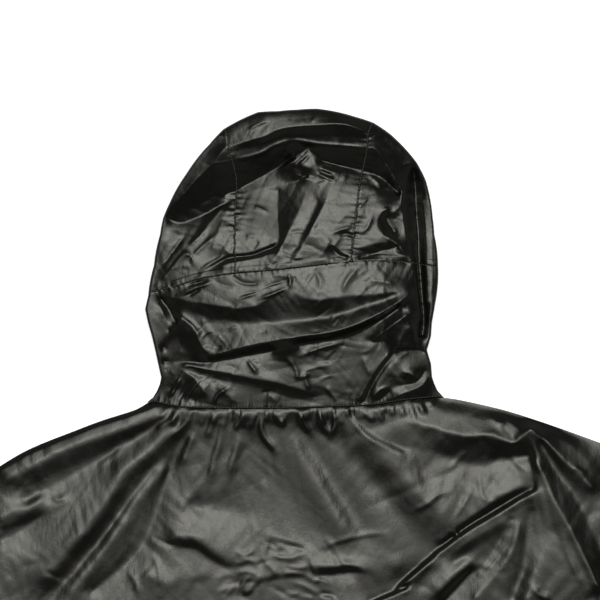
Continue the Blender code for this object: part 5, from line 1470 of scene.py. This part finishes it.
def stitches(line, draw):
    """One row of stitches on a line of points on the cloth, each a little out of line."""
    steps = np.linalg.norm(np.diff(line, axis=0), axis=1)
    along = np.concatenate([[0.0], np.cumsum(steps)])
    places = (np.arange(int(along[-1] / THREAD_PITCH)) + 0.5) * THREAD_PITCH
    places = places[:, None] + THREAD_LENGTH / 2 * np.array([-1.0, 0.0, 1.0])
    centres = np.stack([np.interp(places, along, column) for column in line.T], axis=-1)
    centres[:, 1, 2] += THREAD_RISE
    centres[..., :2] += draw.normal(0, 0.08, (len(centres), 3, 2))
    way = centres[:, 2, :2] - centres[:, 0, :2]
    way /= np.hypot(*way.T)[:, None]
    sideways = np.column_stack([-way[:, 1], way[:, 0], np.zeros(len(way))])
    return rods(centres, sideways, THREAD_RADIUS * np.array([0.5, 1.0, 0.5]), 4)


thread, thread_surface, place = new_surface("spun thread", 0.62)
twist = bands(place, "DIAGONAL", 900.0)
join(two_tone(twist, THREAD_SHADE, THREAD_LIGHT), thread_surface, "Base Color")
over = CROWN_ROWS + ROLL_STEPS
left_cuff, right_cuff = (sleeve_grids[name][-CUFF_ROWS, 1 : SLEEVE_ACROSS + 2] for name in ("left", "right"))
hood_lines = [crown_grid[:over, 1], crown_grid[:over, -2], crown_grid[2, 1:-1]]
hood_lines += [side_grids["left"][2, 4:-1], side_grids["right"][2, 1:-9]]
thread_lines = {
    "hood_seam_thread": hood_lines,
    "neck_seam_thread": [lower_grid[2]],
    "body_seam_thread": [back_grid[HEM_THREAD_ROW]],
    "left_cuff_thread": [left_cuff],
    "right_cuff_thread": [right_cuff],
}
seam_threads = {}
for seed, (name, lines) in enumerate(thread_lines.items()):
    draw = np.random.default_rng(60 + seed)
    rows = np.concatenate([stitches(line, draw) for line in lines])
    seam_threads[name] = mesh_of(name, rows, loop_faces(len(rows), 3, 4))
    dress(seam_threads[name], "garment", thread, "coated_cloth")

# ---------------------------------------------------------------- zip tape
# Two woven tapes of the front closure, one sewn to each front under its centre edge. The garment lies
# on its front, so the zip faces the floor and only its back would show, under the back panel.

TAPE_HALF = 12.0
TAPE_LEVEL = 3.2
CHAIN_HALF = 2.6
CHAIN_LEVEL = 2.15
CHAIN_TOP_Y = 4.0
TAPE_ROWS = 150
TAPE_INNER = 0.7
TAPE_SHADE = (0.012, 0.012, 0.011, 1.0)
TAPE_LIGHT = (0.022, 0.022, 0.02, 1.0)

tape_cloth, tape_surface, place = new_surface("woven zip tape", 0.8)
herring, ribs = bands(place, "DIAGONAL", 420.0), bands(place, "X", 260.0)
join(two_tone(herring, TAPE_SHADE, TAPE_LIGHT), tape_surface, "Base Color")
woven = place.node("ShaderNodeBump", Height=herring + ribs, Strength=0.4, Distance=0.0002)
join(woven, tape_surface, "Normal")
tapes = {}
for name, sign in (("left", -1), ("right", 1)):
    along, across = np.linspace(HEM_Y, CHAIN_TOP_Y, TAPE_ROWS), np.linspace(TAPE_INNER, TAPE_HALF, 7)
    y, x = np.meshgrid(along, across, indexing="ij")
    ripple = 0.12 * np.sin(y / 23 + sign) * np.sin(y / 61) * (x - TAPE_INNER) / TAPE_HALF
    points = np.dstack([sign * x, y, TAPE_LEVEL + ripple])
    tapes[name] = cloth_piece("zip_tape_" + name, points if sign > 0 else points[:, ::-1])
    dress(tapes[name], "garment", tape_cloth, "zip_tape", "zip_strip")

# ---------------------------------------------------------------- zip coil
# The closed chain: the turns of two nylon coils, one sewn along each tape, which lie between each
# other. Each turn is a short round-ended rod.

COIL_PITCH = 2.6
COIL_RADIUS = 0.58
COIL_RINGS = np.array([0.0, 0.12, 0.5, 0.88, 1.0])
COIL_RADII = COIL_RADIUS * np.array([0.6, 0.95, 1.0, 0.95, 0.6])
COIL_OVERLAP = 0.7
COIL_BLACK = (0.012, 0.012, 0.012, 1.0)

coil_nylon, coil_surface, place = new_surface("coil nylon", 0.35, Base_Color=COIL_BLACK)
join(0.28 + 0.2 * noise(place, 300.0, 2.0), coil_surface, "Roughness")
turns = []
for sign in (-1, 1):
    y = np.arange(HEM_Y + 2, CHAIN_TOP_Y - 1.5, COIL_PITCH) + (COIL_PITCH / 2 if sign > 0 else 0.0)
    x = sign * blend(-COIL_OVERLAP, CHAIN_HALF, COIL_RINGS)
    centres = np.stack(np.broadcast_arrays(x[None, :], y[:, None], CHAIN_LEVEL), axis=-1)
    sideways = np.tile([0.0, float(sign), 0.0], (len(y), 1))
    turns.append(rods(centres, sideways, COIL_RADII, 8))
turns = np.concatenate(turns)
coil = mesh_of("zip_coil", turns, loop_faces(len(turns), len(COIL_RINGS), 8))
dress(coil, "garment", coil_nylon, "zip_tape", "zip_strip")
for name, on_tape in (("left", [coil]), ("right", [])):
    front = "front_" + name + "_panel"

# ---------------------------------------------------------------- zip slider
# A die-cast slider, lacquered black, at the top of the closed zip under the chin. Its two shoulders
# narrow to a throat, and two cheeks on its face hold the pull tab.

SLIDER_Y = CHAIN_TOP_Y + 0.3
SLIDER_LENGTH = 12.0
BLACK_LACQUER = (0.01, 0.01, 0.01, 1.0)
LACQUER_COAT = 0.5
SLIDER_LEFT = [
    (-1.4, 12.0), (-3.4, 11.7), (-4.2, 10.2), (-4.2, 8.2), (-3.5, 5.0), (-3.1, 2.0), (-2.9, 0.6),
    (-2.2, 0.0),
]
SLIDER_LEVELS = [
    (0.5, 1.3), (0.1, 1.5), (0.0, 1.8), (0.0, 2.15), (0.7, 2.2), (0.7, 3.4), (0.0, 3.45), (0.0, 3.9),
    (0.1, 4.1), (0.5, 4.3),
]
CHEEK_LEFT = [(-0.5, 1.5), (-0.5, 0.5), (-0.5, -0.5), (-0.5, -1.5)]
CHEEK_LEVELS = [(0.25, 0.2), (0.0, 0.45), (0.0, 1.6), (0.0, 1.9)]
CHEEK_X = 2.3

lacquer, lacquer_surface, place = new_surface("black lacquered metal", 0.3, Base_Color=BLACK_LACQUER)
lacquer_surface.inputs["Coat Weight"].default_value = LACQUER_COAT
join(0.25 + 0.25 * noise(place, 500.0, 3.0), lacquer_surface, "Roughness")


def plate(left, levels, centre):
    """A flat solid from the left half of its outline: at each level the outline drawn in by an inset
    towards the middle, mirrored to the right."""
    left = np.array(left)
    middle = left[:, 1].mean()
    rings = []
    for inset, z in levels:
        x = left[:, 0] + inset
        y = left[:, 1] + np.clip(middle - left[:, 1], -inset, inset)
        half = np.column_stack([np.minimum(x, -0.05), y, np.full(len(y), z)])
        rings.append(np.vstack([half, half[::-1] * [-1, 1, 1]]))
    return np.array(rings)[None] + np.array(centre)


def plates(name, left, levels, *centres):
    """A piece of one such solid at each centre."""
    rings = np.concatenate([plate(left, levels, centre) for centre in centres])
    return mesh_of(name, rings, loop_faces(len(centres), len(levels), 2 * len(left)))


axis_y = SLIDER_Y + SLIDER_LENGTH / 2
slider = plates("zip_slider_body", SLIDER_LEFT, SLIDER_LEVELS, (0.0, SLIDER_Y, 0.0))
cheek_centres = [(x, axis_y, 0.0) for x in (-CHEEK_X, CHEEK_X)]
cheeks = plates("zip_slider_cheeks", CHEEK_LEFT, CHEEK_LEVELS, *cheek_centres)
for made in (slider, cheeks):
    dress(made, "garment", lacquer, "zip_metal", "zip_slider")

# ---------------------------------------------------------------- zip pull tab
# A stamped tab of the same lacquered metal, thin and straight, with a sunk panel on both faces. Its
# barrel turns between the slider's cheeks.

PULL_AXIS_Z = 0.6
PULL_LEFT = [
    (-1.2, 0.4), (-1.5, 0.1), (-1.5, -3.0), (-2.5, -4.5), (-2.5, -24.0), (-2.2, -25.2), (-1.5, -25.8),
    (-0.7, -26.0),
]
PULL_LEVELS = [
    (0.9, -0.22), (0.75, -0.4), (0.12, -0.4), (0.0, -0.3), (0.0, 0.3), (0.12, 0.4), (0.75, 0.4),
    (0.9, 0.22),
]

pull = plates("zip_pull_tab", PULL_LEFT, PULL_LEVELS, (0.0, axis_y, PULL_AXIS_Z))
dress(pull, "pull_tab", lacquer, "zip_metal", "zip_pull")

# ---------------------------------------------------------------- floor, light and camera
# A plain near-white floor, three wide soft lights overhead and beyond the hood, a room that is dark
# above and brighter round the sides, and a camera four metres up that looks straight down.

FLOOR_HALF = 6.0
FLOOR_GLOW = 0.5
ROOM_ABOVE = 0.035
ROOM_ROUND = 0.22
ROOM_FADE = (0.3, 0.62)
SOFTBOXES = [
    # name, y, height, size, power
    ("outer softbox", 1.0, 4.0, (3.8, 4.0), 74.0),
    ("middle softbox", 1.6, 4.1, (2.8, 2.6), 56.0),
    ("inner softbox", 0.92, 4.2, (2.0, 0.9), 42.0),
]
SOFTBOX_X = -0.02
LENS = 265.2
CAMERA_PLACE = (-0.0224, 0.3194, 3.9)

floor_mesh = bpy.data.meshes.new("floor")
corners = [(FLOOR_HALF * x, FLOOR_HALF * y, 0.0) for x, y in ((-1, -1), (1, -1), (1, 1), (-1, 1))]
floor_mesh.from_pydata(corners, [], [(0, 1, 2, 3)])
floor = bpy.data.objects.new("floor", floor_mesh)
bpy.context.scene.collection.objects.link(floor)
floor_surface, floor_nodes, _ = new_surface("pale floor", 0.9, Base_Color=(0.9, 0.9, 0.9, 1.0))
floor_nodes.inputs["Emission Color"].default_value = (1.0, 1.0, 1.0, 1.0)
floor_nodes.inputs["Emission Strength"].default_value = FLOOR_GLOW
floor_nodes.inputs["Specular IOR Level"].default_value = 0.0
floor.data.materials.append(floor_surface)
floor.visible_glossy = False

world = bpy.data.worlds.new("studio")
bpy.context.scene.world = world
world.use_nodes = True
room = world.node_tree
heading = Wire(room, room.nodes.new("ShaderNodeTexCoord").outputs["Generated"])
upward = heading.node("ShaderNodeSeparateXYZ", out=2, Vector=heading)
ends = {"From_Min": ROOM_FADE[0], "To_Min": ROOM_ROUND, "From_Max": ROOM_FADE[1], "To_Max": ROOM_ABOVE}
strength = upward.node("ShaderNodeMapRange", {"interpolation_type": "SMOOTHSTEP"}, Value=upward, **ends)
join(strength, room.nodes["Background"], "Strength")
room.nodes["Background"].inputs["Color"].default_value = (1.0, 1.0, 1.0, 1.0)

for name, y, height, size, power in SOFTBOXES:
    softbox = bpy.data.lights.new(name, "AREA")
    softbox.shape = "RECTANGLE"
    softbox.size, softbox.size_y = size
    softbox.energy = power
    light = bpy.data.objects.new(name, softbox)
    light.location = (SOFTBOX_X, y, height)
    bpy.context.scene.collection.objects.link(light)

camera_data = bpy.data.cameras.new("camera")
camera_data.lens = LENS
camera = bpy.data.objects.new("camera", camera_data)
camera.location = CAMERA_PLACE
bpy.context.scene.collection.objects.link(camera)
bpy.context.scene.camera = camera
bpy.context.scene.view_settings.view_transform = "Standard"
